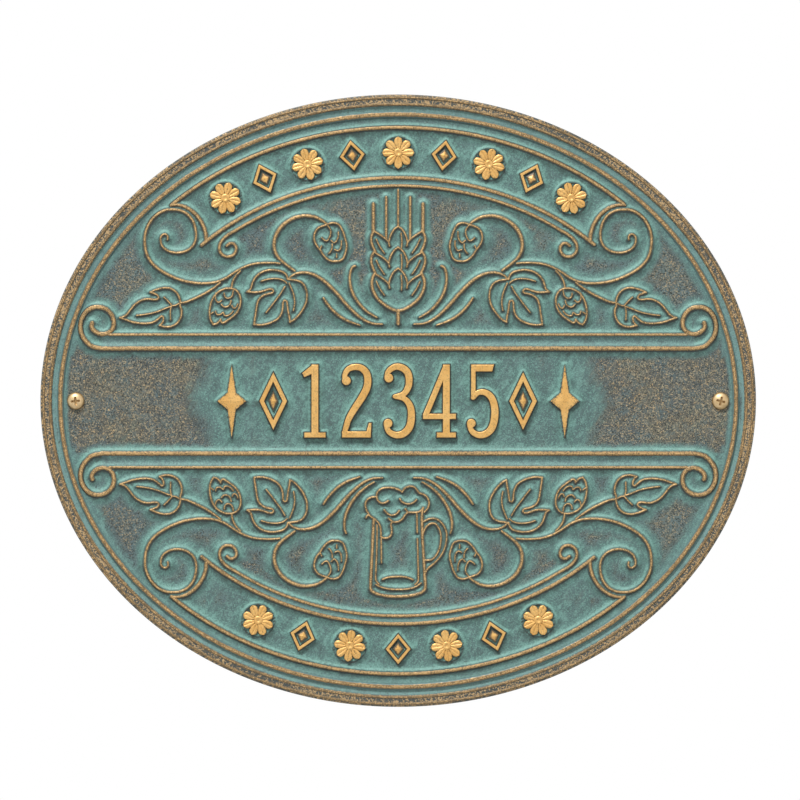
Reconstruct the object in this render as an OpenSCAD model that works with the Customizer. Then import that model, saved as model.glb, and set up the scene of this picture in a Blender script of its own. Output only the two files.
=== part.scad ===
// Oval cast wall plaque: a hollow-backed plate with a raised rim, raised
// ornament and raised figures, held to the wall by two cross-head screws.
// The plaque hangs upright: X to the right, Z up, and the wall is the plane Y = 0.
// Inside the modules it lies on its back, so that heights are measured up from the wall.

/* [Plate] */
// Overall width of the oval
plaque_w = 368; // [340:1:410]
// Overall height of the oval
plaque_h = 315; // [295:1:350]
// Height of the open field above the wall
field_t = 7.2; // [6:0.1:10]
// Thickness of the metal behind the open field
skin_t = 4; // [3:0.1:5]
// Width of the wall that stands round the hollow back
wall_w = 9; // [7.5:0.1:12]

/* [Rim] */
// Width of the raised rim band
rim_w = 6; // [4.5:0.1:7]
// Height of the rim band above the field
rim_rise = 1.2; // [0.6:0.1:2.5]
// Distance from the edge to the middle of the outer bead
outer_bead_in = 1.4; // [1.1:0.1:2]
// Distance from the inner edge of the band to the middle of the inner bead
inner_bead_in = 1; // [0.7:0.1:1.2]
// Width of each bead
bead_w = 1.3; // [0.8:0.1:1.4]
// Height of each bead above the rim band
bead_rise = 0.6; // [0.3:0.1:1]
// Distance from the edge to the middle of the border ridge
border_in = 10.3; // [9.5:0.1:11]
// Width of the border ridge
border_w = 2.6; // [1.6:0.1:3.2]

/* [Raised lines] */
// Height of every raised line above the field
line_rise = 1.5; // [0.8:0.1:2.5]
// Width of the outlines of leaves, cones, barley and mug
line_w = 1.4; // [1:0.1:1.8]
// Width of the veins and scales inside the outlines
vein_w = 1.1; // [0.8:0.1:1.4]
// Width of the stems at their middle
stem_w = 2; // [1.4:0.1:2.6]
// Height of the pads that fill leaves, cones and barley
pad_rise = 0.5; // [0.2:0.1:0.7]
// Gaps between lines narrower than this are cast solid
sand_gap = 0.6; // [0.2:0.1:0.9]
// Clearance between neighbouring raised pieces
piece_gap = 0.05; // [0.02:0.01:0.1]

/* [Banners] */
// Distance from the edge to the outer line of a banner
banner_out_in = 17; // [16:0.1:18]
// Distance from the edge to the inner line of a banner
banner_low_in = 42.8; // [41:0.1:43]
// Width of the banner lines
banner_w = 2; // [1.4:0.1:2.6]
// Distance from the edge to the arch line under a banner
arch_in = 46.9; // [46:0.1:49]
// Width of the arch line
arch_w = 1.6; // [1.2:0.1:2]
// Height of the ornaments on a banner
banner_mark_h = 16.5; // [12:0.5:19]
// Rise of the banner ornaments above the field
banner_mark_rise = 2; // [1:0.1:3]

/* [Centre panel] */
// Height of the panel between the two heavy rails
panel_h = 54; // [50:0.5:58]
// Distance between the heavy rail and the light rail beside it
ribbon_w = 7.1; // [6:0.1:8]
// Width of the heavy rails
heavy_rail_w = 2.4; // [1.6:0.1:3]
// Width of the light rails
light_rail_w = 1.5; // [1.1:0.1:2]
// Clearance between the rolled ends of the rails and the border ridge
roll_gap = 1.1; // [0.6:0.1:3]
// Height of the figures
figure_h = 37.5; // [28:0.5:42]
// Distance between the middles of neighbouring figures
figure_pitch = 21.4; // [18.5:0.1:22.5]
// Rise of the figures above the field
figure_rise = 2.3; // [1.2:0.1:3.5]

/* [Screws] */
// Distance from the edge to the middle of each screw
screw_in = 18.2; // [17.5:0.1:30]
// Outer diameter of the thread, and of the shoulder that fills the plate's hole
screw_d = 4.2; // [3.5:0.1:5]
// Diameter of the plain neck between the wall plane and the thread
neck_d = 3.6; // [2.6:0.1:4]
// Length of the screw under its head
screw_len = 32; // [25:1:50]
// Diameter of the screw head
head_d = 8.9; // [8:0.1:10]
// Height of the screw head
head_h = 3; // [2.4:0.1:3.6]
// Clearance between the screw and the side of its hole
hole_clear = 0.35; // [0.2:0.05:0.6]
// Diameter of the boss round each screw hole at the back
boss_d = 14; // [11:0.5:15]
// Width of the cross cut in the head, from tip to tip
cross_w = 5.1; // [4:0.1:5.8]
// Width of each slot of the cross
cross_slot = 1.1; // [0.8:0.1:1.4]
// Depth of the cross
cross_depth = 1.7; // [1:0.1:2]
// Distance between neighbouring threads
thread_pitch = 1.8; // [1.4:0.1:2.4]

/* [Hidden] */

// Colours of the weathered bronze finish
patina = "#6FA399";
slate = "#6B6F66";
bronze = "#B98E52";
gold = "#E0AC55";
brass = "#DCC38A";

half_w = plaque_w / 2;
half_h = plaque_h / 2;
back_depth = field_t - skin_t;
rim_t = field_t + rim_rise;
rail_y = panel_h / 2;
ribbon_y = rail_y + ribbon_w;
screw_x = half_w - screw_in;
// Angle of each step round the ovals, and the usual length of a step along a curve
oval_step = 3;
curve_chord = 2.4;
// Sides of the round line ends, of small round shapes and of bored and turned ones
cap_fn = 8;
small_fn = 24;
round_fn = 48;
// Lets a cut reach past the face that it opens
over = 1;

// Point of the oval that lies inset from the edge, at an angle from the top
function oval_point(inset, t) = [(half_w - inset) * sin(t), (half_h - inset) * cos(t)];
function oval(inset, from = 0, to = 360 - oval_step, step = oval_step) =
    [for (t = [from:step:to]) oval_point(inset, t)];
// Angle from the top at which that oval reaches a place across the plaque
function oval_angle(inset, x) = asin(x / (half_w - inset));
// Direction square to the oval, as an angle from upright
function oval_lean(inset, t) = atan2(sin(t) / (half_w - inset), cos(t) / (half_h - inset));

// How far across the oval reaches at a height
function oval_reach(inset, y) = (half_w - inset) * sqrt(1 - pow(y / (half_h - inset), 2));

// Rolled end of a rail, drawn from the middle of the plaque and up from the light rail
rail_roll = [[157.3, -6], [160.3, -3.5], [162.4, -0.5], [163.3, 3], [163.1, 6.5], [161.9, 9.7],
    [159.6, 12.5], [156.5, 14], [153, 14.1], [149.8, 12.9], [147.3, 10.3], [146.2, 6.9], [146.6, 3.7],
    [148.4, 1.4], [151.2, 0.3], [154.2, 0.7], [156.6, 2.4], [157.6, 4.4], [157.3, 6]];

// The ornament is drawn in units. Up, they reach from the light rail to the arch line, and
// across, from the middle to where the widest point of the roll clears the border ridge.
drawn_up = [0, 76.5];
drawn_out = rail_roll[4];
unit_y = (half_h - arch_in - ribbon_y) / drawn_up[1];
unit_x = oval_reach(border_in + border_w / 2 + roll_gap + heavy_rail_w / 2, ribbon_y + drawn_out[1] * unit_y)
    / drawn_out[0];

// Puts points drawn from the middle, and up from the light rail, on the plaque
function place(p) = [p[0] * unit_x, ribbon_y + p[1] * unit_y];
function put(points) = [for (p = points) place(p)];
// The same for a step from one point to another
function stride(p) = [p[0] * unit_x, p[1] * unit_y];

// Smooth curve through a list of points
function blend_point(a, b, c, d, t) =
    (2 * b + (c - a) * t + (2 * a - 5 * b + 4 * c - d) * t * t + (3 * b - a - 3 * c + d) * t * t * t) / 2;
function smooth(p) = [
    for (i = [0:len(p) - 2])
        let (n = max(1, round(norm(p[i + 1] - p[i]) / curve_chord)))
            for (k = [0:n - 1])
                blend_point(p[max(i - 1, 0)], p[i], p[i + 1], p[min(i + 2, len(p) - 1)], k / n),
    p[len(p) - 1]];

// Cubic curve between two ends and their handles
function bow(a, b, c, d, n) = [
    for (k = [0:n])
        let (t = k / n, s = 1 - t)
            s * s * s * a + 3 * s * s * t * b + 3 * s * t * t * c + t * t * t * d];

function unit(v) = v / norm(v);
function square_to(p, i) =
    let (v = unit(p[min(i + 1, len(p) - 1)] - p[max(i - 1, 0)])) [-v[1], v[0]];
// Width of a line that swells from its two ends to its middle
function swell(w0, wm, w1, t) = (t < 0.5 ? w0 : w1) + (wm - (t < 0.5 ? w0 : w1)) * sin(180 * t);

// Flat outline of a line of varying width with round ends, along given points
module path(p, w0, wm, w1) {
    last = len(p) - 1;
    side = [for (i = [0:last]) square_to(p, i) * swell(w0, wm, w1, i / last) / 2];
    polygon(concat(
        [for (i = [0:last]) p[i] + side[i]],
        [for (i = [last:-1:0]) p[i] - side[i]]));
    translate(p[0]) circle(d = w0, $fn = cap_fn);
    translate(p[last]) circle(d = w1, $fn = cap_fn);
}

// Smooth line through the drawn points, of one width
module line(points, w = line_w) {
    path(smooth(put(points)), w, w, w);
}

// Smooth line that swells in the middle
module stem(points, w0, wm, w1) {
    path(smooth(put(points)), w0, wm, w1);
}

// Line inside an outline
module vein(points) {
    line(points, vein_w);
}

// Filled shape inside the lines of an outline
module fill_in(lines) {
    polygon([for (part = lines) each smooth(put(part))]);
}

// Stands the plaque up against the wall
module upright() {
    rotate([90, 0, 0]) children();
}

// Closes the gaps that casting sand would not hold
module as_cast() {
    offset(delta = -sand_gap / 2) offset(delta = sand_gap / 2) children();
}

// Raises flat outlines from a height above the wall
module cast(rise, from = field_t) {
    upright()
        translate([0, 0, from])
            linear_extrude(rise)
                as_cast() children();
}

// The same, kept clear of the neighbours that the second child draws
module cast_beside(rise, from = field_t) {
    upright()
        translate([0, 0, from])
            linear_extrude(rise)
                offset(delta = -piece_gap)
                    difference() {
                        as_cast() children(0);
                        children(1);
                    }
}

// The four quarters repeat one drawing
module quarter(across, up) {
    mirror([across < 0 ? 1 : 0, 0, 0]) mirror([0, up < 0 ? 1 : 0, 0]) children();
}

// Ring between two insets from the edge
module oval_ring(from, to) {
    outer = oval(from);
    inner = oval(to);
    n = len(outer);
    polygon(concat(outer, inner), [[for (i = [0:n - 1]) i], [for (i = [0:n - 1]) n + i]]);
}

module raised_ring(middle, w, rise, from) {
    upright()
        translate([0, 0, from])
            linear_extrude(rise)
                oval_ring(middle - w / 2, middle + w / 2);
}

module oval_slab(inset, from, to) {
    translate([0, 0, from]) linear_extrude(to - from) polygon(oval(inset));
}

// Plate with its two bosses and screw holes

module field_plate() {
    color(slate)
        upright()
            difference() {
                union() {
                    oval_slab(rim_w, back_depth, field_t);
                    for (side = [-1, 1]) screw_boss(side);
                }
                for (side = [-1, 1])
                    translate([side * screw_x, 0, -over])
                        cylinder(h = field_t + 2 * over, d = screw_d + 2 * hole_clear, $fn = round_fn);
            }
}

// Boss that reaches back to the wall, kept inside the wall round the back
module screw_boss(side) {
    intersection() {
        translate([side * screw_x, 0, 0])
            cylinder(h = back_depth + skin_t / 2, d = boss_d, $fn = round_fn);
        oval_slab(wall_w, -over, field_t);
    }
}

// Rim that stands to the wall, with a ledge behind that carries the plate

module rim_band() {
    color(bronze)
        upright()
            difference() {
                linear_extrude(rim_t) oval_ring(0, wall_w);
                oval_slab(rim_w, back_depth, rim_t + over);
            }
}

module outer_bead() {
    color(gold) raised_ring(outer_bead_in, bead_w, bead_rise, rim_t);
}

module inner_bead() {
    color(gold) raised_ring(rim_w - inner_bead_in, bead_w, bead_rise, rim_t);
}

module border_ridge() {
    color(bronze) raised_ring(border_in, border_w, line_rise, field_t);
}

// Banners: two concentric lines closed by a hollow curve at each end

// Where the outer line ends in a point, and where the inner line ends in a heel
banner_tip_x = 116.5 * unit_x;
banner_heel_x = 98.7 * unit_x;
banner_end_x = 101 * unit_x;
banner_tip_handle = stride([-9.5, 1.6]);
banner_heel_handle = stride([-0.7, 10]);
end_steps = 8;

module banner_line(inset, x) {
    t = oval_angle(inset, x);
    n = ceil(t / oval_step);
    path([for (i = [-n:n]) oval_point(inset, t * i / n)], banner_w, banner_w, banner_w);
}

module banner_end() {
    tip = oval_point(banner_out_in, oval_angle(banner_out_in, banner_tip_x));
    heel = oval_point(banner_low_in, oval_angle(banner_low_in, banner_heel_x));
    path(bow(tip, tip + banner_tip_handle, heel + banner_heel_handle, heel, end_steps),
        banner_w * 0.7, banner_w, banner_w);
}

module banner_lines() {
    banner_line(banner_out_in, banner_tip_x);
    banner_line(banner_low_in, banner_end_x);
    banner_end();
    quarter(-1, 1) banner_end();
}

module banner(up) {
    color(bronze) cast(line_rise) quarter(1, up) banner_lines();
}

module upper_banner() {
    banner(1);
}

module lower_banner() {
    banner(-1);
}

// Arch lines, each with a small curl at both ends

// The curl's points, measured from the place where the arch line ends
arch_end_x = 84 * unit_x;
arch_curl = [[2.9, -1.6], [5.6, -3.8], [7.4, -6.3], [7.9, -9], [7.1, -11.4], [5.2, -12.9],
    [2.9, -13.2], [0.7, -12.3], [-0.6, -10.3], [-0.7, -8.2], [0.5, -6.6], [2.3, -6.3], [4, -7.5]];

module arch_line(up) {
    t = oval_angle(arch_in, arch_end_x);
    n = ceil(t / oval_step);
    end = oval_point(arch_in, t);
    half = concat(
        [for (i = [0:n - 1]) oval_point(arch_in, t * i / n)],
        smooth(concat([end], [for (p = arch_curl) end + stride(p)])));
    color(bronze)
        cast(line_rise)
            quarter(1, up) {
                path(half, arch_w, arch_w, arch_w);
                quarter(-1, 1) path(half, arch_w, arch_w, arch_w);
            }
}

module upper_arch_line() {
    arch_line(1);
}

module lower_arch_line() {
    arch_line(-1);
}

// Rails: a heavy and a light line, rolled up together at both ends

// Where the heavy rail leaves the straight, and where the light rail meets the roll
rail_end_x = 152.5 * unit_x;
light_end_x = rail_roll[13][0] * unit_x;

module rail(up) {
    half = concat([[0, rail_y]], smooth(concat([[rail_end_x, rail_y]], put(rail_roll))));
    color(bronze)
        cast(line_rise)
            quarter(1, up)
                for (side = [1, -1])
                    quarter(side, 1) {
                        path(half, heavy_rail_w, heavy_rail_w, heavy_rail_w);
                        path([[0, ribbon_y], [light_end_x, ribbon_y]],
                            light_rail_w, light_rail_w, light_rail_w);
                    }
}

module upper_rail() {
    rail(1);
}

module lower_rail() {
    rail(-1);
}

// Vine of one quarter: scroll, stems and blades, which pass behind leaves, cones and banner

scroll = [[118.5, 48.9], [118.4, 50.5], [119.4, 51.6], [120.8, 51.5], [121.9, 50.3], [122.1, 48.3],
    [121.4, 45.8], [119.6, 43.9], [117, 42.6], [113.8, 42.1], [110.5, 42.5], [107.4, 43.9], [105, 46.5],
    [103.9, 49.9], [104.1, 54.1], [105.4, 58.3], [108, 61.7], [111.6, 63.7], [115.4, 64.3], [119.3, 64],
    [123, 62.4], [126.4, 59.4], [128.7, 55.6], [130, 51.5], [130.2, 47.4], [129.6, 42.9], [127.9, 38.8],
    [125, 35.3], [121.2, 32.5], [116.5, 30], [111, 27.9], [105, 26.7], [99, 26.4], [93.5, 27.1],
    [88.7, 29], [84, 32.1], [79.5, 34.6], [74.5, 36.3], [69, 36.9], [64, 36.9], [61, 36.6]];
hop_stem = [[36.4, 56.6], [39, 58.6], [42.5, 60.4], [47, 61.1], [51.5, 60.6], [56, 58.7], [60, 55.6],
    [62.8, 51.2], [63.8, 46.4], [63, 42.2], [60.8, 38.8], [57.5, 36], [53.3, 32.9]];
leaf_stem = [[56.5, 28.5], [54.3, 30.5], [51.3, 31.7], [48, 31.9], [44.6, 31.3], [41.2, 29.8], [37.8, 27.4],
    [34.3, 24.2], [30.8, 20.5], [27.4, 16.5], [24, 12.9], [20.5, 9.7], [16.8, 7.2], [12.8, 5.7], [8.2, 5.4]];
lower_blade = [[38.3, 18.7], [36.3, 15.7], [33.4, 12.4], [29.8, 9.3], [25.4, 6.9], [19.8, 4.9]];
upper_blade = [[22.2, 35.3], [23.7, 34.5], [24.7, 31.4], [24.8, 27.4], [24, 23.2], [22.3, 19.3],
    [19.6, 15.5], [16, 11.9], [11, 8.9]];
mug_blade = [[26.9, 33.7], [27.4, 32.3], [27.7, 29.5], [27.4, 26.3], [26.5, 23], [25, 19.7], [23.1, 16.7],
    [20.8, 13.8], [18.2, 11.4], [15.2, 9.2], [12.4, 7.6]];
outer_hop_stem = [[81.2, 32.7], [83.4, 30.3], [85, 27.3], [85.7, 23.8]];
outer_leaf_branch = [[91.5, 26.7], [94.6, 24.2], [98, 22], [101.5, 20.1], [105.5, 18.2], [109, 16.8],
    [111.8, 16.4]];

module vine_lines(up) {
    thin = line_w * 0.9;
    stem(scroll, thin, stem_w * 0.85, thin);
    stem(hop_stem, line_w, stem_w * 1.1, line_w);
    stem(leaf_stem, thin, stem_w, line_w * 0.8);
    stem(lower_blade, line_w, stem_w * 0.85, line_w * 0.75);
    stem(up > 0 ? upper_blade : mug_blade, line_w, stem_w * 0.9, line_w * 0.8);
    stem(outer_hop_stem, thin, thin, thin);
    stem(outer_leaf_branch, thin, line_w * 1.1, thin);
}

module vine(across, up) {
    color(bronze)
        cast_beside(line_rise) {
            quarter(across, up) vine_lines(up);
            quarter(across, up) {
                outline_lines(inner_leaf);
                outline_lines(outer_leaf);
                outline_lines(inner_hop);
                outline_lines(outer_hop);
                banner_lines();
            }
        }
}

// Leaves and hop cones: an outline drawn in one or more strokes, with veins or scales inside

inner_leaf = [
    [[56.7, 28.6], [57.4, 30.5], [59, 32.1], [61.5, 32.9], [64.5, 33.3], [67.5, 33], [70.3, 32],
        [72.7, 30.2], [74.4, 27.8], [75.3, 25.2], [76, 23.2], [77.5, 22.1]],
    [[77.5, 22.1], [74.5, 21.8], [71.5, 21.9], [68.8, 22.6], [66.5, 23.4], [64.9, 23.4], [64.1, 22.4],
        [64.8, 21.5], [66.8, 21], [69, 20.3], [71, 18.8], [72.2, 16.7], [72.8, 13.9], [73.3, 10.4],
        [73.8, 7.4], [74, 5.3]],
    [[74, 5.3], [71, 5], [67.5, 5.5], [64.3, 6.7], [61.6, 8.5], [59.9, 11.2], [59.3, 14.2],
        [59.2, 16.5], [58.4, 17.7], [57.4, 17.3], [57, 15.4], [56.6, 12.4], [56, 9.4], [55.6, 6.6]],
    [[55.6, 6.6], [53.4, 7.8], [50.8, 10.5], [48.6, 13.7], [47.2, 17.1], [46.9, 20.5], [47.5, 23.8],
        [49.2, 26.5], [51.8, 27.8], [54.5, 28.2], [56.7, 28.6]]];
inner_leaf_veins = [
    [[57.3, 26.5], [58.6, 27.7], [61, 28.6], [64, 28.8], [67.3, 28.4], [70.3, 27.5]],
    [[58.3, 24.7], [60.3, 21.3], [62.8, 17.9], [65.3, 14.6], [67.8, 11.5]],
    [[56, 26.4], [54.7, 23.4], [53.6, 20.1], [53.2, 16.4], [53.8, 12.5]]];

outer_leaf = [
    [[111.9, 16.4], [112.3, 18.5], [113.2, 20.7], [114.9, 22.6], [117.2, 23.8], [120, 24.1], [123, 23.5],
        [125.3, 22.7], [127.2, 21.8]],
    [[127.2, 21.8], [125, 21], [123.6, 20.1], [123.1, 19.1], [123.8, 18.2], [125.5, 18], [128, 18.3],
        [130.6, 18.1], [133.2, 17], [135.6, 15.2], [137.6, 12.8], [139.3, 10.6], [141, 9.3], [142.9, 8.7]],
    [[142.9, 8.7], [140, 7.7], [136.5, 6.5], [132.8, 5.9], [129, 5.8], [125.6, 6.5], [123.2, 8.2],
        [121.6, 9.5], [120.7, 8.8], [120.7, 7.4], [121.4, 5.9], [122.5, 4.8]],
    [[122.5, 4.8], [119.6, 4], [116.6, 4.3], [114, 5.6], [112.3, 7.7], [111.4, 10.3], [111.4, 12.9],
        [112.1, 14.9], [111.9, 16.4]]];
outer_leaf_veins = [
    [[112.6, 16.1], [114.4, 15.1], [116.4, 14.8]],
    [[116.4, 14.6], [119.6, 13.5], [123, 12.1], [126.8, 11], [130.6, 10.3], [134.3, 9.9]],
    [[116.4, 15.1], [118.2, 17.2], [120.3, 19.2]],
    [[116.6, 14.4], [117.1, 12.1], [117, 7.7]]];

inner_hop = [
    [[36.4, 56.6], [34.6, 57.3], [32.6, 57.4], [30.6, 56.6], [29.2, 54.7], [28.1, 52.3], [27.3, 49.5],
        [26.6, 46.9], [26.6, 44.3], [27.3, 41.5], [28.3, 39.2], [30.1, 38], [32.5, 37.7], [34.8, 38],
        [36.8, 39.2], [38.7, 41.3], [40.2, 43.7], [41.8, 45.7], [42.9, 48.1], [43.2, 50.5], [42.6, 52.8],
        [41.3, 54.6], [39.2, 55.7], [36.4, 56.6]]];
inner_hop_scales = [
    [[36.4, 56.3], [34.8, 53.9], [34.8, 51.4], [36.2, 48.5], [37.6, 48.4], [39.2, 49.7]],
    [[30.7, 52.8], [30.8, 50.4], [31.6, 48.3], [33, 47.2], [34.4, 48.4]],
    [[29.2, 48.2], [29.2, 45.9], [29.7, 44.2], [30.9, 43.1], [32.5, 43.7]],
    [[33.9, 46.4], [34, 44.4], [34.8, 42.6], [35.6, 41.8]],
    [[31.6, 41.5], [31.6, 39.9]],
    [[39.4, 45.5], [40.1, 44.1]]];

outer_hop = [
    [[85.7, 23.8], [88.2, 23.8], [90.6, 23], [92.8, 21.7], [94.7, 19.5], [96.1, 16.7], [96.8, 13.4],
        [96.9, 10.2], [96.2, 7.2], [94.9, 5.3]],
    [[94.9, 5.3], [93.4, 5.6], [92.2, 6.6], [91.3, 7.7]],
    [[91.3, 7.7], [90.8, 6.4], [89.6, 6.2], [88, 7.2], [86, 8.6], [84, 10.2], [82.2, 12.6],
        [81.2, 15.5], [81, 18.5], [81.9, 21.3], [83.6, 23], [85.7, 23.8]]];
outer_hop_scales = [
    [[84.8, 22.4], [85.2, 20.3], [86.3, 19], [87.9, 18.7], [89.1, 19.6], [89.4, 21.3]],
    [[93.7, 21.3], [94, 19.1], [93.2, 17.1], [91.8, 16.7], [90.8, 17.7]],
    [[85.9, 17.5], [86.4, 15.6], [87.8, 14.4], [89.6, 14.3], [90.8, 15.5]],
    [[82.4, 15.7], [83.2, 14.1], [84.6, 13.6], [85.4, 14.9]],
    [[84.9, 12], [86.1, 10.6], [87.9, 9.7], [89.4, 10], [89.9, 11.5], [91.3, 10.4], [93.2, 10.4],
        [93.9, 11.9]],
    [[95.1, 11.5], [96.3, 10.7]]];

module outline_lines(outline) {
    for (part = outline) line(part);
}

// Outline and veins stand on a low pad that fills the shape
module leaf_or_cone(outline, veins, across, up) {
    color(patina)
        cast(pad_rise)
            quarter(across, up) {
                fill_in(outline);
                outline_lines(outline);
            }
    color(bronze)
        cast(line_rise - pad_rise, field_t + pad_rise)
            quarter(across, up) {
                outline_lines(outline);
                for (part = veins) vein(part);
            }
}

module inner_leaf_piece(across, up) {
    leaf_or_cone(inner_leaf, inner_leaf_veins, across, up);
}

module outer_leaf_piece(across, up) {
    leaf_or_cone(outer_leaf, outer_leaf_veins, across, up);
}

module inner_hop_piece(across, up) {
    leaf_or_cone(inner_hop, inner_hop_scales, across, up);
}

module outer_hop_piece(across, up) {
    leaf_or_cone(outer_hop, outer_hop_scales, across, up);
}

// Barley ear: three tiers of grains on a stalk, with five awns above

ear_tiers = 3;
ear_tip = [0, 55.6];
ear_tier = [0, -10.8];
ear_bowl = [[12, 31.5], [13.2, 28.9], [13.5, 25.4], [12.4, 21.7], [10.6, 18.6], [8.1, 16.2], [5.2, 14.2],
    [2.7, 12.9], [0, 12.1]];
// One side of a tier, measured down from the tip of its middle grain
tier_middle = [[0, 0], [1.8, -1.2], [3.3, -3.3], [4.3, -5.7], [4.8, -8]];
tier_edge = [[12.2, -2.5], [9.4, -4.2], [7, -5.9], [5, -7.9], [4.5, -9.8]];
tier_side = [[12.4, -2.3], [13.7, -4.9], [13.8, -7.6], [13, -10.3], [11.8, -12.9]];
tier_side_vein = [[11.2, -6.6], [9.6, -10], [7.2, -13.6]];
tier_middle_vein = [[1.5, -3.6], [1.9, -7], [1.7, -11]];
// Each awn: distance from the middle, bottom, top and width
awns = [[0, 55.6, 74.3, 1.5], [6.15, 49.1, 70.5, 1.7], [12.75, 53.1, 66.9, 2.3]];
stalk_foot = [0, 5.9];
stalk_w = 2.4;

function down_from(tip, points) = [for (p = points) p + tip];
function tier_tip(k) = ear_tip + k * ear_tier;

module ear_half() {
    line(ear_bowl, stem_w * 0.9);
    for (k = [0:ear_tiers - 1]) {
        tip = tier_tip(k);
        line(down_from(tip, tier_middle));
        line(down_from(tip, tier_edge));
        vein(down_from(tip, tier_side_vein));
        if (k < ear_tiers - 1) line(down_from(tip, tier_side), stem_w * 0.8);
    }
    for (a = awns) line([[a[0], a[1]], [a[0], a[2]]], a[3]);
}

module ear_lines() {
    ear_half();
    mirror([1, 0, 0]) ear_half();
    for (k = [0:ear_tiers - 1]) vein(down_from(tier_tip(k), tier_middle_vein));
    line([ear_bowl[len(ear_bowl) - 1], stalk_foot], stalk_w);
}

// Filled shape of the grains, without the awns
module ear_body() {
    half = concat(
        down_from(tier_tip(0), [tier_middle[0], tier_middle[2], tier_middle[4]]),
        down_from(tier_tip(0), [tier_edge[2], tier_edge[0], tier_side[2]]),
        down_from(tier_tip(1), [tier_side[0], tier_side[2]]),
        ear_bowl);
    for (side = [-1, 1]) polygon([for (p = put(half)) [p[0] * side, p[1]]]);
}

module barley_ear() {
    color(patina)
        cast(pad_rise) {
            ear_body();
            ear_lines();
        }
    color(bronze)
        cast(line_rise - pad_rise, field_t + pad_rise)
            ear_lines();
}

// Foaming mug, drawn down from the lower light rail

mug_wall = [[-12.6, 27.2], [-13.1, 37.9], [-13.7, 49.9], [-14.2, 60.5], [-14, 62.9], [-12.6, 64.3],
    [-9.8, 65.4], [-5, 66.3], [0, 66.5], [5, 66.2], [9.8, 65.2], [12.6, 63.9], [13.9, 61.9],
    [13.7, 56.9], [13.2, 47.9], [12.6, 37.9], [12.3, 28.9], [12.3, 23.3], [12.7, 21.2]];
mug_handle = [
    [[13.2, 27.8], [15.8, 26.6], [18.7, 26.4], [21.2, 27.5], [23.3, 29.8], [24.7, 32.9], [24.9, 36.5],
        [24.1, 40.9], [22.3, 44.9], [19.6, 48.3], [16.6, 50.9], [14.8, 52.7], [13.6, 55.4]],
    [[12.7, 34.4], [13.7, 31.7], [15.3, 29.7], [17.2, 28.8], [19.2, 29.1], [20.9, 31.3],
        [21.9, 34.5], [21.8, 38.9], [20.8, 42.9], [19, 45.9], [16.8, 47.6], [13.3, 47.9]]];
mug_inside = [
    [[-10.9, 29.9], [-10.9, 37.4], [-11.2, 47.4], [-11.6, 56.4], [-11.2, 58.5], [-10.1, 59.9]],
    [[-11.4, 60.3], [-9, 61.6], [-5, 62.6], [0, 62.9], [5, 62.6], [9, 61.5], [11.6, 59.6]],
    [[9.6, 23.4], [9.8, 33.5]],
    [[9.9, 36.9], [10.2, 47.9], [10.4, 57.2], [9.9, 59.2], [8.8, 60.2]],
    [[-8.7, 36.9], [-8.6, 48.9]],
    [[-8, 57.7], [-5.5, 56.7], [-2, 56.3], [2, 56.3], [5, 56.8], [7.5, 57.8]]];
foam = [
    [[-16.4, 25.7], [-15.8, 24.7], [-14.6, 24.9]],
    [[-14.6, 24.9], [-16.2, 22.2], [-16.9, 19.3], [-16.1, 16.9], [-14, 15.5], [-11.1, 15.2]],
    [[-5.2, 17.3], [-7, 18.3], [-8.9, 18.3], [-10.4, 17.1], [-11.1, 15.2], [-10.8, 13.2],
        [-9.6, 11.6], [-7.5, 10.7], [-4.7, 10.4], [-1.8, 10.8], [0.6, 11.7], [2.1, 12.5]],
    [[2.1, 12.5], [3.4, 10.8], [5.2, 9.9], [7, 9.8], [8.8, 10.6], [9.9, 12.1], [10.9, 13.2],
        [13, 13.9], [14.8, 15.3], [15.8, 17.3], [15.8, 19.3], [15, 21.3], [13.6, 22.9]],
    [[-14.6, 24.9], [-13, 26.1], [-11, 27.6], [-9.7, 29.3], [-9, 31.7], [-8.8, 35.7]],
    [[-8.8, 35.7], [-7.6, 36.4], [-5.8, 36.4], [-4.3, 35.6], [-3.4, 33.9], [-3.4, 31.3],
        [-3.8, 29.3], [-3.2, 28.2]],
    [[-4.8, 26.4], [-2.7, 28], [0, 28], [2.2, 26.5], [3.6, 24.5], [4.9, 23.3], [7.4, 23.2],
        [9.7, 23.2], [11.4, 22.5], [12.7, 21.2]],
    [[3.8, 21.5], [4.9, 23.1]]];
foam_folds = [
    [[0.9, 16.3], [2.1, 17.8], [4.3, 18.8], [6.5, 18.7], [8.3, 17.8], [9.3, 16.7]],
    [[-7.1, 22], [-6, 23.4], [-4, 24.6], [-2.2, 24.6], [-0.6, 23.7], [0.4, 22.4]]];

module mug() {
    color(bronze)
        cast(line_rise)
            quarter(1, -1) {
                line(mug_wall, stem_w * 0.9);
                outline_lines(mug_handle);
                outline_lines(foam);
                for (part = concat(mug_inside, foam_folds)) line(part, line_w * 0.93);
            }
}

// Figures of the centre panel, narrow, with slab feet

// They are drawn up from the foot, so many units high
figure_top = [0, 38];
ball_d = 4.6;

module slab(from, to) {
    translate(from) square(to - from);
}

module ball(p) {
    translate(p) circle(d = ball_d, $fn = small_fn);
}

module bowed(points, w0, wm, w1) {
    path(smooth(points), w0, wm, w1);
}

module one() {
    slab([-1.8, 0], [1.8, 38]);
    slab([-5.6, 0], [5.6, 2.6]);
    polygon([[1.8, 38], [-1.2, 38], [-6.6, 33.6], [-5.6, 31.4], [-1.8, 33]]);
}

module two() {
    ball([-5.3, 29.6]);
    bowed([[-6.1, 30], [-6, 32.9], [-4.2, 35.6], [-1, 36.7], [2.4, 36.2], [5, 33.8], [5.9, 30],
        [5.2, 25.5], [2.6, 20.5], [-0.9, 15.2], [-4.2, 9.4], [-6.2, 2.4]], 2.4, 3.8, 2.6);
    polygon([[-7.6, 0], [7.4, 0], [7.8, 7.6], [6.4, 7.6], [5.2, 3.2], [-7.6, 3.2]]);
}

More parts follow.
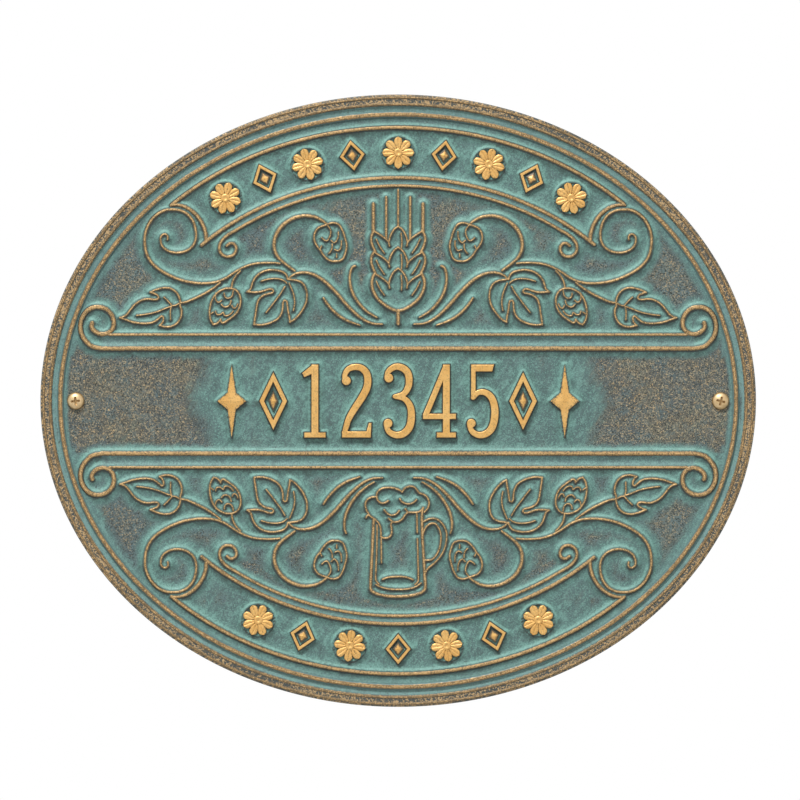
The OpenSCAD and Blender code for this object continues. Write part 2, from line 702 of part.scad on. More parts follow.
module three() {
    ball([-4.9, 31]);
    ball([-5.3, 7.4]);
    bowed([[-6, 31.4], [-5, 34.5], [-1.9, 36.7], [1.6, 36.5], [4.6, 34.3], [5.7, 30.6], [5.2, 26.2],
        [2.7, 22.6], [-1.8, 21.3]], 2.4, 3.7, 2.2);
    bowed([[-1.8, 21.3], [3, 20.3], [6, 16.8], [6.9, 11.6], [6, 5.8], [2.9, 2.1], [-1.2, 1.3], [-4.9, 3.2],
        [-6.4, 7]], 2.2, 3.9, 2.4);
}

module four() {
    slab([1.6, 0], [5.2, 38]);
    slab([-1.6, 0], [8.4, 2.6]);
    slab([-8.8, 9.6], [8.4, 12.4]);
    polygon([[2, 38], [5.2, 38], [-5.6, 12], [-8.8, 12]]);
}

module five() {
    polygon([[-5.4, 34.4], [5.6, 34.4], [6.6, 38], [-5.4, 38]]);
    slab([-5.4, 20.2], [-3, 38]);
    ball([-5.3, 7.4]);
    bowed([[-4.4, 20.8], [-1.6, 23.4], [2, 23.4], [5.2, 20.8], [6.8, 16], [6.9, 10.8], [5.6, 5.4],
        [2.6, 2.1], [-1.4, 1.3], [-4.9, 3.2], [-6.4, 7]], 2.4, 3.9, 2.4);
}

// Rhombus with a pip inside, given as half width and half height
function rhombus(w, h) = [[0, h], [w, 0], [0, -h], [-w, 0]];

module lozenge(w, h, band) {
    difference() {
        polygon(rhombus(w, h));
        polygon(rhombus(w - band, h - band * h / w));
    }
    polygon(rhombus(w - 1.9 * band, h - 1.9 * band * h / w));
}

// Long four-pointed star with hollow sides
module long_star() {
    polygon([[0, 19], [2.1, 4.4], [7.4, 0], [2.1, -4.4], [0, -19], [-2.1, -4.4], [-7.4, 0], [-2.1, 4.4]]);
}

// Centre of a place in the row of figures, counted from the middle
module in_row(place_no) {
    translate([place_no * figure_pitch, 0]) scale(figure_h / figure_top[1]) children();
}

module figure(place_no) {
    color(gold)
        cast(figure_rise)
            in_row(place_no)
                translate(-figure_top / 2)
                    children();
}

module figure_1() {
    figure(-2) one();
}

module figure_2() {
    figure(-1) two();
}

module figure_3() {
    figure(0) three();
}

module figure_4() {
    figure(1) four();
}

module figure_5() {
    figure(2) five();
}

module panel_lozenges() {
    color(gold)
        cast(figure_rise)
            for (side = [-1, 1]) in_row(3 * side) lozenge(7.2, 15, 2.4);
}

module panel_stars() {
    color(gold)
        cast(figure_rise)
            for (side = [-1, 1]) in_row(4 * side) long_star();
}

// Ornaments of the banners

// They are drawn round their middle, so many units high
mark_top = [0, 8.25];
banner_middle_in = (banner_out_in + banner_low_in) / 2;
upper_step = 8.8;
lower_step = 9.3;

// Petal with a round tip and a pointed foot, from the middle outwards
petal = [[0, 1], [1.5, 3.2], [2.2, 5.3], [1.9, 7.2], [0, 8.2], [-1.9, 7.2], [-2.2, 5.3], [-1.5, 3.2]];
petals = 8;
rosette_boss = 4.6;

module rosette() {
    for (k = [0:petals - 1]) rotate(k * 360 / petals) polygon(smooth(concat(petal, [petal[0]])));
    circle(d = rosette_boss, $fn = small_fn);
}

// Places one ornament on the middle line of a banner, leaning with the oval
module on_banner(up, t) {
    quarter(1, up)
        translate(oval_point(banner_middle_in, t))
            rotate(-oval_lean(banner_middle_in, t))
                scale(banner_mark_h / 2 / mark_top[1])
                    children();
}

module banner_marks(up, step, numbers) {
    color(gold)
        cast(banner_mark_rise)
            for (i = numbers) on_banner(up, i * step) children();
}

module upper_banner_rosettes() {
    banner_marks(1, upper_step, [-4:2:4]) rosette();
}

module upper_banner_lozenges() {
    banner_marks(1, upper_step, [-3:2:3]) lozenge(6.4, 7.8, 1.8);
}

module lower_banner_rosettes() {
    banner_marks(-1, lower_step, [-3:2:3]) rosette();
}

module lower_banner_lozenges() {
    banner_marks(-1, lower_step, [-2:2:2]) lozenge(6.4, 7.8, 1.8);
}

// Round-headed screw with a cross recess, a plain neck and a pointed thread

// The neck runs this far past the wall before the thread starts
neck_past_wall = 6;
point_len = 5;
core_share = 0.7;
dome_steps = 8;

function dome(d, h) = [for (k = [0:dome_steps]) let (t = 90 * k / dome_steps) [d / 2 * cos(t), h * sin(t)]];

// Half outline of the shank below the head: shoulder, neck, threads and point
function shank_outline() =
    let (
        r = screw_d / 2,
        neck_r = neck_d / 2,
        core = r * core_share,
        neck = field_t + neck_past_wall,
        turns = max(1, floor((screw_len - neck - point_len) / thread_pitch)),
        top = -(screw_len - point_len - turns * thread_pitch))
    concat(
        [[0, 0], [r, 0], [r, -field_t], [neck_r, -field_t], [neck_r, top]],
        [for (k = [0:turns - 1]) each [[core, top - (k + 0.35) * thread_pitch],
            [r, top - (k + 0.85) * thread_pitch], [r, top - (k + 1) * thread_pitch]]],
        [[core, -(screw_len - point_len)], [0, -screw_len]]);

module screw(side) {
    color(brass)
        upright()
            translate([side * screw_x, 0, field_t]) {
                difference() {
                    rotate_extrude($fn = round_fn) polygon(concat([[0, 0]], dome(head_d, head_h)));
                    for (turn = [0, 90])
                        rotate(turn)
                            translate([-cross_w / 2, -cross_slot / 2, head_h - cross_depth])
                                cube([cross_w, cross_slot, cross_depth + over]);
                }
                rotate_extrude($fn = round_fn) polygon(shank_outline());
            }
}

module left_screw() {
    screw(-1);
}

module right_screw() {
    screw(1);
}

field_plate();
rim_band();
outer_bead();
inner_bead();
border_ridge();
upper_banner();
lower_banner();
upper_arch_line();
lower_arch_line();
upper_rail();
lower_rail();
vine(-1, 1);  // upper_left_vine
vine(1, 1);  // upper_right_vine
vine(-1, -1);  // lower_left_vine
vine(1, -1);  // lower_right_vine
inner_leaf_piece(-1, 1);  // upper_left_inner_leaf
inner_leaf_piece(1, 1);  // upper_right_inner_leaf
inner_leaf_piece(-1, -1);  // lower_left_inner_leaf
inner_leaf_piece(1, -1);  // lower_right_inner_leaf
outer_leaf_piece(-1, 1);  // upper_left_outer_leaf
outer_leaf_piece(1, 1);  // upper_right_outer_leaf
outer_leaf_piece(-1, -1);  // lower_left_outer_leaf
outer_leaf_piece(1, -1);  // lower_right_outer_leaf
inner_hop_piece(-1, 1);  // upper_left_inner_hop
inner_hop_piece(1, 1);  // upper_right_inner_hop
inner_hop_piece(-1, -1);  // lower_left_inner_hop
inner_hop_piece(1, -1);  // lower_right_inner_hop
outer_hop_piece(-1, 1);  // upper_left_outer_hop
outer_hop_piece(1, 1);  // upper_right_outer_hop
outer_hop_piece(-1, -1);  // lower_left_outer_hop
outer_hop_piece(1, -1);  // lower_right_outer_hop
barley_ear();
mug();
figure_1();
figure_2();
figure_3();
figure_4();
figure_5();
panel_lozenges();
panel_stars();
upper_banner_rosettes();
upper_banner_lozenges();
lower_banner_rosettes();
lower_banner_lozenges();
left_screw();
right_screw();
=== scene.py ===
# Oval cast wall plaque in weathered bronze: raised rim, vines, barley ear, mug and figures.
# The relief is drawn lying on its back, in millimetres: x across, y up the plaque, z up from the wall.
# UPRIGHT then stands it up in the frame, in metres. Inset means the distance from the plaque's edge.

import functools
import math
from collections import namedtuple

import bmesh
import bpy
import numpy as np
from mathutils import Matrix, Vector, geometry, kdtree, noise


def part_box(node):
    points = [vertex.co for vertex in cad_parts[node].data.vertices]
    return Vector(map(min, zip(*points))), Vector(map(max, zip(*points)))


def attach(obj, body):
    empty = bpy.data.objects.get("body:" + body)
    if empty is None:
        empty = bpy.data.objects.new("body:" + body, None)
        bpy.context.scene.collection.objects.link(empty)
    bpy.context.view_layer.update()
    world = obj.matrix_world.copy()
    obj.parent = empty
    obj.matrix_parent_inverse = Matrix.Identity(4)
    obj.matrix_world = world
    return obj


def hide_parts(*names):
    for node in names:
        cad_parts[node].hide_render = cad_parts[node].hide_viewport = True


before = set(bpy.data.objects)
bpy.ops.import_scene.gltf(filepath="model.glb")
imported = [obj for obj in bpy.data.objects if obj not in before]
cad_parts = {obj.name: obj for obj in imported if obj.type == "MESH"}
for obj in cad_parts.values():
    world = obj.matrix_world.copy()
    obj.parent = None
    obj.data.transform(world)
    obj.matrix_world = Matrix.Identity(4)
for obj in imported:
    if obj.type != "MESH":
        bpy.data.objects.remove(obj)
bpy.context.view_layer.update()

MM = 0.001
UPRIGHT = Matrix.Scale(MM, 4) @ Matrix.Rotation(math.radians(90), 4, "X")


def half_size(node):
    low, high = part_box(node)
    return (high.x - low.x) / 2 / MM, (high.z - low.z) / 2 / MM


def top_of(node):
    return -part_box(node)[0].y / MM


# Sizes taken from the frame
HALF_W, HALF_H = half_size("rim_band")
FIELD_TOP = top_of("field_plate")
RIM_TOP = top_of("rim_band")
RECESS = -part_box("field_plate")[1].y / MM
BEAD_RISE = top_of("outer_bead") - RIM_TOP
LINE_RISE = top_of("border_ridge") - FIELD_TOP
FIGURE_RISE = top_of("figure_3") - FIELD_TOP
MARK_RISE = top_of("upper_banner_rosettes") - FIELD_TOP

# Rim
RIM_W = 6
WALL_W = 9
SKIN_T = 4
OUTER_BEAD_IN = 1.4
INNER_BEAD_IN = RIM_W - 1
BEAD_W = 1.3
BORDER_IN = 10.3
BORDER_W = 2.6

# Widths of the raised lines
LINE_W = 1.4
VEIN_W = 1.1
STEM_W = 2
BANNER_W = 1.9
ARCH_W = 1.6
HEAVY_RAIL_W = 2.3
LIGHT_RAIL_W = 1.5

# Banners, arch lines and rails
BANNER_OUT_IN = 17
BANNER_LOW_IN = 42.8
ARCH_IN = 46.9
RAIL_Y = 27
RIBBON_Y = RAIL_Y + 7.1
BANNER_TIP_X = 116.5
BANNER_HEEL_X = 98.7
BANNER_END_X = 101
BANNER_TIP_HANDLE = (-9.5, 1.6)
BANNER_HEEL_HANDLE = (-0.7, 10)
ARCH_END_X = 84
RAIL_END_X = 152.5
LIGHT_RAIL_END_X = 148.4

# Figures of the panel and marks of the banners
FIGURE_H = 37.5
DRAWN_FIGURE_H = 38
FIGURE_PITCH = 21.4
UPPER_STEP = 8.8
LOWER_STEP = 9.3
PETALS = 8

# Steps along lines, round ovals (in degrees), across the field and across pads
STEP = 0.75
OVAL_STEP = 0.75
CELL = 0.8
PAD_CELL = 0.6

# Rolled end of a rail, and the small curl that ends an arch line
RAIL_ROLL = [[157.3, -6], [160.3, -3.5], [162.4, -0.5], [163.3, 3], [163.1, 6.5], [161.9, 9.7],
    [159.6, 12.5], [156.5, 14], [153, 14.1], [149.8, 12.9], [147.3, 10.3], [146.2, 6.9], [146.6, 3.7],
    [148.4, 1.4], [151.2, 0.3], [154.2, 0.7], [156.6, 2.4], [157.6, 4.4], [157.3, 6]]
ARCH_CURL = [[2.9, -1.6], [5.6, -3.8], [7.4, -6.3], [7.9, -9], [7.1, -11.4], [5.2, -12.9],
    [2.9, -13.2], [0.7, -12.3], [-0.6, -10.3], [-0.7, -8.2], [0.5, -6.6], [2.3, -6.3], [4, -7.5]]

# Vine of one quarter, drawn up from the light rail
SCROLL = [[118.5, 48.9], [118.4, 50.5], [119.4, 51.6], [120.8, 51.5], [121.9, 50.3], [122.1, 48.3],
    [121.4, 45.8], [119.6, 43.9], [117, 42.6], [113.8, 42.1], [110.5, 42.5], [107.4, 43.9], [105, 46.5],
    [103.9, 49.9], [104.1, 54.1], [105.4, 58.3], [108, 61.7], [111.6, 63.7], [115.4, 64.3], [119.3, 64],
    [123, 62.4], [126.4, 59.4], [128.7, 55.6], [130, 51.5], [130.2, 47.4], [129.6, 42.9], [127.9, 38.8],
    [125, 35.3], [121.2, 32.5], [116.5, 30], [111, 27.9], [105, 26.7], [99, 26.4], [93.5, 27.1],
    [88.7, 29], [84, 32.1], [79.5, 34.6], [74.5, 36.3], [69, 36.9], [64, 36.9], [61, 36.6]]
HOP_STEM = [[36.4, 56.6], [39, 58.6], [42.5, 60.4], [47, 61.1], [51.5, 60.6], [56, 58.7], [60, 55.6],
    [62.8, 51.2], [63.8, 46.4], [63, 42.2], [60.8, 38.8], [57.5, 36], [53.3, 32.9]]
LEAF_STEM = [[56.5, 28.5], [54.3, 30.5], [51.3, 31.7], [48, 31.9], [44.6, 31.3], [41.2, 29.8], [37.8, 27.4],
    [34.3, 24.2], [30.8, 20.5], [27.4, 16.5], [24, 12.9], [20.5, 9.7], [16.8, 7.2], [12.8, 5.7], [8.2, 5.4]]
LOWER_BLADE = [[38.3, 18.7], [36.3, 15.7], [33.4, 12.4], [29.8, 9.3], [25.4, 6.9], [19.8, 4.9]]
UPPER_BLADE = [[22.2, 35.3], [23.7, 34.5], [24.7, 31.4], [24.8, 27.4], [24, 23.2], [22.3, 19.3],
    [19.6, 15.5], [16, 11.9], [11, 8.9]]
MUG_BLADE = [[26.9, 33.7], [27.4, 32.3], [27.7, 29.5], [27.4, 26.3], [26.5, 23], [25, 19.7], [23.1, 16.7],
    [20.8, 13.8], [18.2, 11.4], [15.2, 9.2], [12.4, 7.6]]
OUTER_HOP_STEM = [[81.2, 32.7], [83.4, 30.3], [85, 27.3], [85.7, 23.8]]
OUTER_LEAF_BRANCH = [[91.5, 26.7], [94.6, 24.2], [98, 22], [101.5, 20.1], [105.5, 18.2], [109, 16.8],
    [111.8, 16.4]]

# Leaves and hop cones: the outline in strokes, then the veins or scales inside
INNER_LEAF = [
    [[56.7, 28.6], [57.4, 30.5], [59, 32.1], [61.5, 32.9], [64.5, 33.3], [67.5, 33], [70.3, 32],
        [72.7, 30.2], [74.4, 27.8], [75.3, 25.2], [76, 23.2], [77.5, 22.1]],
    [[77.5, 22.1], [74.5, 21.8], [71.5, 21.9], [68.8, 22.6], [66.5, 23.4], [64.9, 23.4], [64.1, 22.4],
        [64.8, 21.5], [66.8, 21], [69, 20.3], [71, 18.8], [72.2, 16.7], [72.8, 13.9], [73.3, 10.4],
        [73.8, 7.4], [74, 5.3]],
    [[74, 5.3], [71, 5], [67.5, 5.5], [64.3, 6.7], [61.6, 8.5], [59.9, 11.2], [59.3, 14.2],
        [59.2, 16.5], [58.4, 17.7], [57.4, 17.3], [57, 15.4], [56.6, 12.4], [56, 9.4], [55.6, 6.6]],
    [[55.6, 6.6], [53.4, 7.8], [50.8, 10.5], [48.6, 13.7], [47.2, 17.1], [46.9, 20.5], [47.5, 23.8],
        [49.2, 26.5], [51.8, 27.8], [54.5, 28.2], [56.7, 28.6]]]
INNER_LEAF_VEINS = [
    [[57.3, 26.5], [58.6, 27.7], [61, 28.6], [64, 28.8], [67.3, 28.4], [70.3, 27.5]],
    [[58.3, 24.7], [60.3, 21.3], [62.8, 17.9], [65.3, 14.6], [67.8, 11.5]],
    [[56, 26.4], [54.7, 23.4], [53.6, 20.1], [53.2, 16.4], [53.8, 12.5]]]
OUTER_LEAF = [
    [[111.9, 16.4], [112.3, 18.5], [113.2, 20.7], [114.9, 22.6], [117.2, 23.8], [120, 24.1], [123, 23.5],
        [125.3, 22.7], [127.2, 21.8]],
    [[127.2, 21.8], [125, 21], [123.6, 20.1], [123.1, 19.1], [123.8, 18.2], [125.5, 18], [128, 18.3],
        [130.6, 18.1], [133.2, 17], [135.6, 15.2], [137.6, 12.8], [139.3, 10.6], [141, 9.3], [142.9, 8.7]],
    [[142.9, 8.7], [140, 7.7], [136.5, 6.5], [132.8, 5.9], [129, 5.8], [125.6, 6.5], [123.2, 8.2],
        [121.6, 9.5], [120.7, 8.8], [120.7, 7.4], [121.4, 5.9], [122.5, 4.8]],
    [[122.5, 4.8], [119.6, 4], [116.6, 4.3], [114, 5.6], [112.3, 7.7], [111.4, 10.3], [111.4, 12.9],
        [112.1, 14.9], [111.9, 16.4]]]
OUTER_LEAF_VEINS = [
    [[112.6, 16.1], [114.4, 15.1], [116.4, 14.8]],
    [[116.4, 14.6], [119.6, 13.5], [123, 12.1], [126.8, 11], [130.6, 10.3], [134.3, 9.9]],
    [[116.4, 15.1], [118.2, 17.2], [120.3, 19.2]],
    [[116.6, 14.4], [117.1, 12.1], [117, 7.7]]]
INNER_HOP = [
    [[36.4, 56.6], [34.6, 57.3], [32.6, 57.4], [30.6, 56.6], [29.2, 54.7], [28.1, 52.3], [27.3, 49.5],
        [26.6, 46.9], [26.6, 44.3], [27.3, 41.5], [28.3, 39.2], [30.1, 38], [32.5, 37.7], [34.8, 38],
        [36.8, 39.2], [38.7, 41.3], [40.2, 43.7], [41.8, 45.7], [42.9, 48.1], [43.2, 50.5], [42.6, 52.8],
        [41.3, 54.6], [39.2, 55.7], [36.4, 56.6]]]
INNER_HOP_SCALES = [
    [[36.4, 56.3], [34.8, 53.9], [34.8, 51.4], [36.2, 48.5], [37.6, 48.4], [39.2, 49.7]],
    [[30.7, 52.8], [30.8, 50.4], [31.6, 48.3], [33, 47.2], [34.4, 48.4]],
    [[29.2, 48.2], [29.2, 45.9], [29.7, 44.2], [30.9, 43.1], [32.5, 43.7]],
    [[33.9, 46.4], [34, 44.4], [34.8, 42.6], [35.6, 41.8]],
    [[31.6, 41.5], [31.6, 39.9]],
    [[39.4, 45.5], [40.1, 44.1]]]
OUTER_HOP = [
    [[85.7, 23.8], [88.2, 23.8], [90.6, 23], [92.8, 21.7], [94.7, 19.5], [96.1, 16.7], [96.8, 13.4],
        [96.9, 10.2], [96.2, 7.2], [94.9, 5.3]],
    [[94.9, 5.3], [93.4, 5.6], [92.2, 6.6], [91.3, 7.7]],
    [[91.3, 7.7], [90.8, 6.4], [89.6, 6.2], [88, 7.2], [86, 8.6], [84, 10.2], [82.2, 12.6],
        [81.2, 15.5], [81, 18.5], [81.9, 21.3], [83.6, 23], [85.7, 23.8]]]
OUTER_HOP_SCALES = [
    [[84.8, 22.4], [85.2, 20.3], [86.3, 19], [87.9, 18.7], [89.1, 19.6], [89.4, 21.3]],
    [[93.7, 21.3], [94, 19.1], [93.2, 17.1], [91.8, 16.7], [90.8, 17.7]],
    [[85.9, 17.5], [86.4, 15.6], [87.8, 14.4], [89.6, 14.3], [90.8, 15.5]],
    [[82.4, 15.7], [83.2, 14.1], [84.6, 13.6], [85.4, 14.9]],
    [[84.9, 12], [86.1, 10.6], [87.9, 9.7], [89.4, 10], [89.9, 11.5], [91.3, 10.4], [93.2, 10.4],
        [93.9, 11.9]],
    [[95.1, 11.5], [96.3, 10.7]]]

# Barley ear: one side of a tier is measured down from the tip of its middle grain
EAR_BOWL = [[12, 31.5], [13.2, 28.9], [13.5, 25.4], [12.4, 21.7], [10.6, 18.6], [8.1, 16.2], [5.2, 14.2],
    [2.7, 12.9], [0, 12.1]]
TIER_MIDDLE = [[0, 0], [1.8, -1.2], [3.3, -3.3], [4.3, -5.7], [4.8, -8]]
TIER_EDGE = [[12.2, -2.5], [9.4, -4.2], [7, -5.9], [5, -7.9], [4.5, -9.8]]
TIER_SIDE = [[12.4, -2.3], [13.7, -4.9], [13.8, -7.6], [13, -10.3], [11.8, -12.9]]
TIER_SIDE_VEIN = [[11.2, -6.6], [9.6, -10], [7.2, -13.6]]
TIER_MIDDLE_VEIN = [[1.5, -3.6], [1.9, -7], [1.7, -11]]

# Each awn: distance from the middle, bottom, top and width
AWNS = [[0, 55.6, 74.3, 1.5], [6.15, 49.1, 70.5, 1.7], [12.75, 53.1, 66.9, 2.3]]

# Mug, drawn down from the lower light rail
MUG_WALL = [[-12.6, 27.2], [-13.1, 37.9], [-13.7, 49.9], [-14.2, 60.5], [-14, 62.9], [-12.6, 64.3],
    [-9.8, 65.4], [-5, 66.3], [0, 66.5], [5, 66.2], [9.8, 65.2], [12.6, 63.9], [13.9, 61.9],
    [13.7, 56.9], [13.2, 47.9], [12.6, 37.9], [12.3, 28.9], [12.3, 23.3], [12.7, 21.2]]
MUG_HANDLE = [
    [[13.2, 27.8], [15.8, 26.6], [18.7, 26.4], [21.2, 27.5], [23.3, 29.8], [24.7, 32.9], [24.9, 36.5],
        [24.1, 40.9], [22.3, 44.9], [19.6, 48.3], [16.6, 50.9], [14.8, 52.7], [13.6, 55.4]],
    [[12.7, 34.4], [13.7, 31.7], [15.3, 29.7], [17.2, 28.8], [19.2, 29.1], [20.9, 31.3],
        [21.9, 34.5], [21.8, 38.9], [20.8, 42.9], [19, 45.9], [16.8, 47.6], [13.3, 47.9]]]
MUG_INSIDE = [
    [[-10.9, 29.9], [-10.9, 37.4], [-11.2, 47.4], [-11.6, 56.4], [-11.2, 58.5], [-10.1, 59.9]],
    [[-11.4, 60.3], [-9, 61.6], [-5, 62.6], [0, 62.9], [5, 62.6], [9, 61.5], [11.6, 59.6]],
    [[9.6, 23.4], [9.8, 33.5]],
    [[9.9, 36.9], [10.2, 47.9], [10.4, 57.2], [9.9, 59.2], [8.8, 60.2]],
    [[-8.7, 36.9], [-8.6, 48.9]],
    [[-8, 57.7], [-5.5, 56.7], [-2, 56.3], [2, 56.3], [5, 56.8], [7.5, 57.8]]]
FOAM = [
    [[-16.4, 25.7], [-15.8, 24.7], [-14.6, 24.9]],
    [[-14.6, 24.9], [-16.2, 22.2], [-16.9, 19.3], [-16.1, 16.9], [-14, 15.5], [-11.1, 15.2]],
    [[-5.2, 17.3], [-7, 18.3], [-8.9, 18.3], [-10.4, 17.1], [-11.1, 15.2], [-10.8, 13.2],
        [-9.6, 11.6], [-7.5, 10.7], [-4.7, 10.4], [-1.8, 10.8], [0.6, 11.7], [2.1, 12.5]],
    [[2.1, 12.5], [3.4, 10.8], [5.2, 9.9], [7, 9.8], [8.8, 10.6], [9.9, 12.1], [10.9, 13.2],
        [13, 13.9], [14.8, 15.3], [15.8, 17.3], [15.8, 19.3], [15, 21.3], [13.6, 22.9]],
    [[-14.6, 24.9], [-13, 26.1], [-11, 27.6], [-9.7, 29.3], [-9, 31.7], [-8.8, 35.7]],
    [[-8.8, 35.7], [-7.6, 36.4], [-5.8, 36.4], [-4.3, 35.6], [-3.4, 33.9], [-3.4, 31.3],
        [-3.8, 29.3], [-3.2, 28.2]],
    [[-4.8, 26.4], [-2.7, 28], [0, 28], [2.2, 26.5], [3.6, 24.5], [4.9, 23.3], [7.4, 23.2],
        [9.7, 23.2], [11.4, 22.5], [12.7, 21.2]],
    [[3.8, 21.5], [4.9, 23.1]]]
FOAM_FOLDS = [
    [[0.9, 16.3], [2.1, 17.8], [4.3, 18.8], [6.5, 18.7], [8.3, 17.8], [9.3, 16.7]],
    [[-7.1, 22], [-6, 23.4], [-4, 24.6], [-2.2, 24.6], [-0.6, 23.7], [0.4, 22.4]]]

EAR_TIPS = [(0, 55.6), (0, 44.8), (0, 34)]
STALK_FOOT = (0, 5.9)
STALK_W = 2.4

# Plane geometry

Stroke = namedtuple("Stroke", "points half closed")


def smooth(points, step=STEP):
    """Smooth curve through drawn points, in short steps."""
    p = np.asarray(points, float)
    q = np.vstack([p[:1], p, p[-1:]])
    parts = []
    for a, b, c, d in zip(q, q[1:], q[2:], q[3:]):
        n = max(1, round(np.linalg.norm(c - b) / step))
        t = (np.arange(n) / n)[:, None]
        bend = (2 * a - 5 * b + 4 * c - d) * t**2 + (3 * b - a - 3 * c + d) * t**3
        parts.append((2 * b + (c - a) * t + bend) / 2)
    return np.vstack(parts + [p[-1:]])


def bow(a, b, c, d, count=40):
    """Cubic curve between two ends and their handles."""
    t = np.linspace(0, 1, count)[:, None]
    return (1 - t) ** 3 * a + 3 * (1 - t) ** 2 * t * b + 3 * (1 - t) * t**2 * c + t**3 * d


def straight(a, b):
    return np.linspace(a, b, max(2, round(math.dist(a, b) / STEP)))


def oval_points(inset, angles):
    """Points of the oval that lies inset from the edge, at angles from the top."""
    return np.column_stack([(HALF_W - inset) * np.sin(angles), (HALF_H - inset) * np.cos(angles)])


def oval_point(inset, x):
    """The point of that oval's top that lies x from the middle."""
    return oval_points(inset, [math.asin(x / (HALF_W - inset))])[0]


def oval_arc(inset, x):
    """The top of that oval, from -x to x."""
    end = math.asin(x / (HALF_W - inset))
    return oval_points(inset, np.arange(-end, end, math.radians(OVAL_STEP) / 2))


def oval(inset):
    return oval_points(inset, np.radians(np.arange(0, 360, OVAL_STEP)))


def oval_lean(inset, angle):
    """Direction square to the oval, as an angle from upright."""
    return math.atan2(math.sin(angle) / (HALF_W - inset), math.cos(angle) / (HALF_H - inset))


def inset_of(x, y):
    """How far places lie from the edge."""
    share = np.hypot(x / HALF_W, y / HALF_H) + 1e-9
    return (1 / share - 1) * np.hypot(x, y)


def above_rail(points):
    """Puts points drawn up from the light rail on the plaque."""
    return np.asarray(points, float) + (0, RIBBON_Y)


def curve_above(points):
    """Smooth curve through such points."""
    return smooth(above_rail(points))


def swelling(points, start, middle, end):
    """Line whose width swells from its two ends to its middle."""
    t = np.linspace(0, 1, len(points))
    edge = np.where(t < 0.5, start, end)
    return Stroke(points, (edge + (middle - edge) * np.sin(np.pi * t)) / 2, False)


def line(points, width=LINE_W):
    return even(curve_above(points), width)


def stem(points, start, middle, end):
    return swelling(curve_above(points), start, middle, end)


def even(points, width, closed=False):
    return Stroke(points, np.full(len(points), width / 2), closed)


def turned(strokes, across, up):
    """The same lines in another quarter of the plaque."""
    return [Stroke(s.points * (across, up), s.half, s.closed) for s in strokes]


def mirrored(strokes):
    return strokes + turned(strokes, -1, 1)


def round_end(tip, before, radius):
    """Points and half widths past the end of a line, from the tip inwards."""
    ahead = (tip - before) / np.linalg.norm(tip - before)
    angles = np.radians([6, 28, 50, 72])
    return tip + ahead * radius * np.cos(angles)[:, None], radius * np.sin(angles)


def with_round_ends(s):
    first, first_half = round_end(s.points[0], s.points[1], s.half[0])
    last, last_half = round_end(s.points[-1], s.points[-2], s.half[-1])
    points = np.vstack([first, s.points, last[::-1]])
    return Stroke(points, np.concatenate([first_half, s.half, last_half[::-1]]), False)


def outline_of(s):
    """Closed outline of a line with round ends."""
    s = with_round_ends(s)
    ahead = np.gradient(s.points, axis=0)
    ahead /= np.linalg.norm(ahead, axis=1)[:, None]
    side = np.column_stack([-ahead[:, 1], ahead[:, 0]]) * s.half[:, None]
    return np.vstack([s.points - side, (s.points + side)[::-1]])


# Lines of each raised piece

def banner_lines():
    tip = oval_point(BANNER_OUT_IN, BANNER_TIP_X)
    heel = oval_point(BANNER_LOW_IN, BANNER_HEEL_X)
    end = bow(tip, tip + BANNER_TIP_HANDLE, heel + BANNER_HEEL_HANDLE, heel)
    return [
        even(oval_arc(BANNER_OUT_IN, BANNER_TIP_X), BANNER_W),
        even(oval_arc(BANNER_LOW_IN, BANNER_END_X), BANNER_W),
        *mirrored([swelling(end, BANNER_W * 0.7, BANNER_W, BANNER_W)]),
    ]


def arch_line():
    arch = oval_arc(ARCH_IN, ARCH_END_X)
    end = oval_point(ARCH_IN, ARCH_END_X)
    curl = smooth([end, *(end + np.array(ARCH_CURL))])
    return [even(np.vstack([curl[::-1] * (-1, 1), arch[1:-1], curl]), ARCH_W)]


def rail_lines():
    roll = smooth([(RAIL_END_X, RAIL_Y), *above_rail(RAIL_ROLL)])
    heavy = np.vstack([roll[::-1] * (-1, 1), straight(roll[0] * (-1, 1), roll[0])[1:-1], roll])
    light = straight((-LIGHT_RAIL_END_X, RIBBON_Y), (LIGHT_RAIL_END_X, RIBBON_Y))
    return [even(heavy, HEAVY_RAIL_W), even(light, LIGHT_RAIL_W)]


def vine_lines(up):
    thin = LINE_W * 0.9
    return [
        stem(SCROLL, thin, STEM_W * 0.85, thin),
        stem(HOP_STEM, LINE_W, STEM_W * 1.1, LINE_W),
        stem(LEAF_STEM, thin, STEM_W, LINE_W * 0.8),
        stem(LOWER_BLADE, LINE_W, STEM_W * 0.85, LINE_W * 0.75),
        stem(UPPER_BLADE if up > 0 else MUG_BLADE, LINE_W, STEM_W * 0.9, LINE_W * 0.8),
        stem(OUTER_HOP_STEM, thin, thin, thin),
        stem(OUTER_LEAF_BRANCH, thin, LINE_W * 1.1, thin),
    ]


def leaf_lines(outline, veins):
    return [line(part) for part in outline] + [line(part, VEIN_W) for part in veins]


def leaf_outline(outline):
    return np.vstack([curve_above(part)[:-1] for part in outline])


def from_tip(tip, points):
    return np.asarray(points, float) + tip


def ear_lines():
    half = [line(EAR_BOWL, STEM_W)]
    for tip in EAR_TIPS:
        half.append(line(from_tip(tip, TIER_MIDDLE)))
        half.append(line(from_tip(tip, TIER_EDGE)))
        half.append(line(from_tip(tip, TIER_SIDE_VEIN), VEIN_W))
    for tip in EAR_TIPS[:-1]:
        half.append(line(from_tip(tip, TIER_SIDE), STEM_W * 0.9))
    awns = [even(straight(*above_rail([(x, low), (x, high)])), width) for x, low, high, width in AWNS]
    stalk = even(straight(*above_rail([EAR_BOWL[-1], STALK_FOOT])), STALK_W)
    veins = [line(from_tip(tip, TIER_MIDDLE_VEIN), VEIN_W) for tip in EAR_TIPS]
    return mirrored(half + awns[1:]) + [awns[0], stalk, *veins]


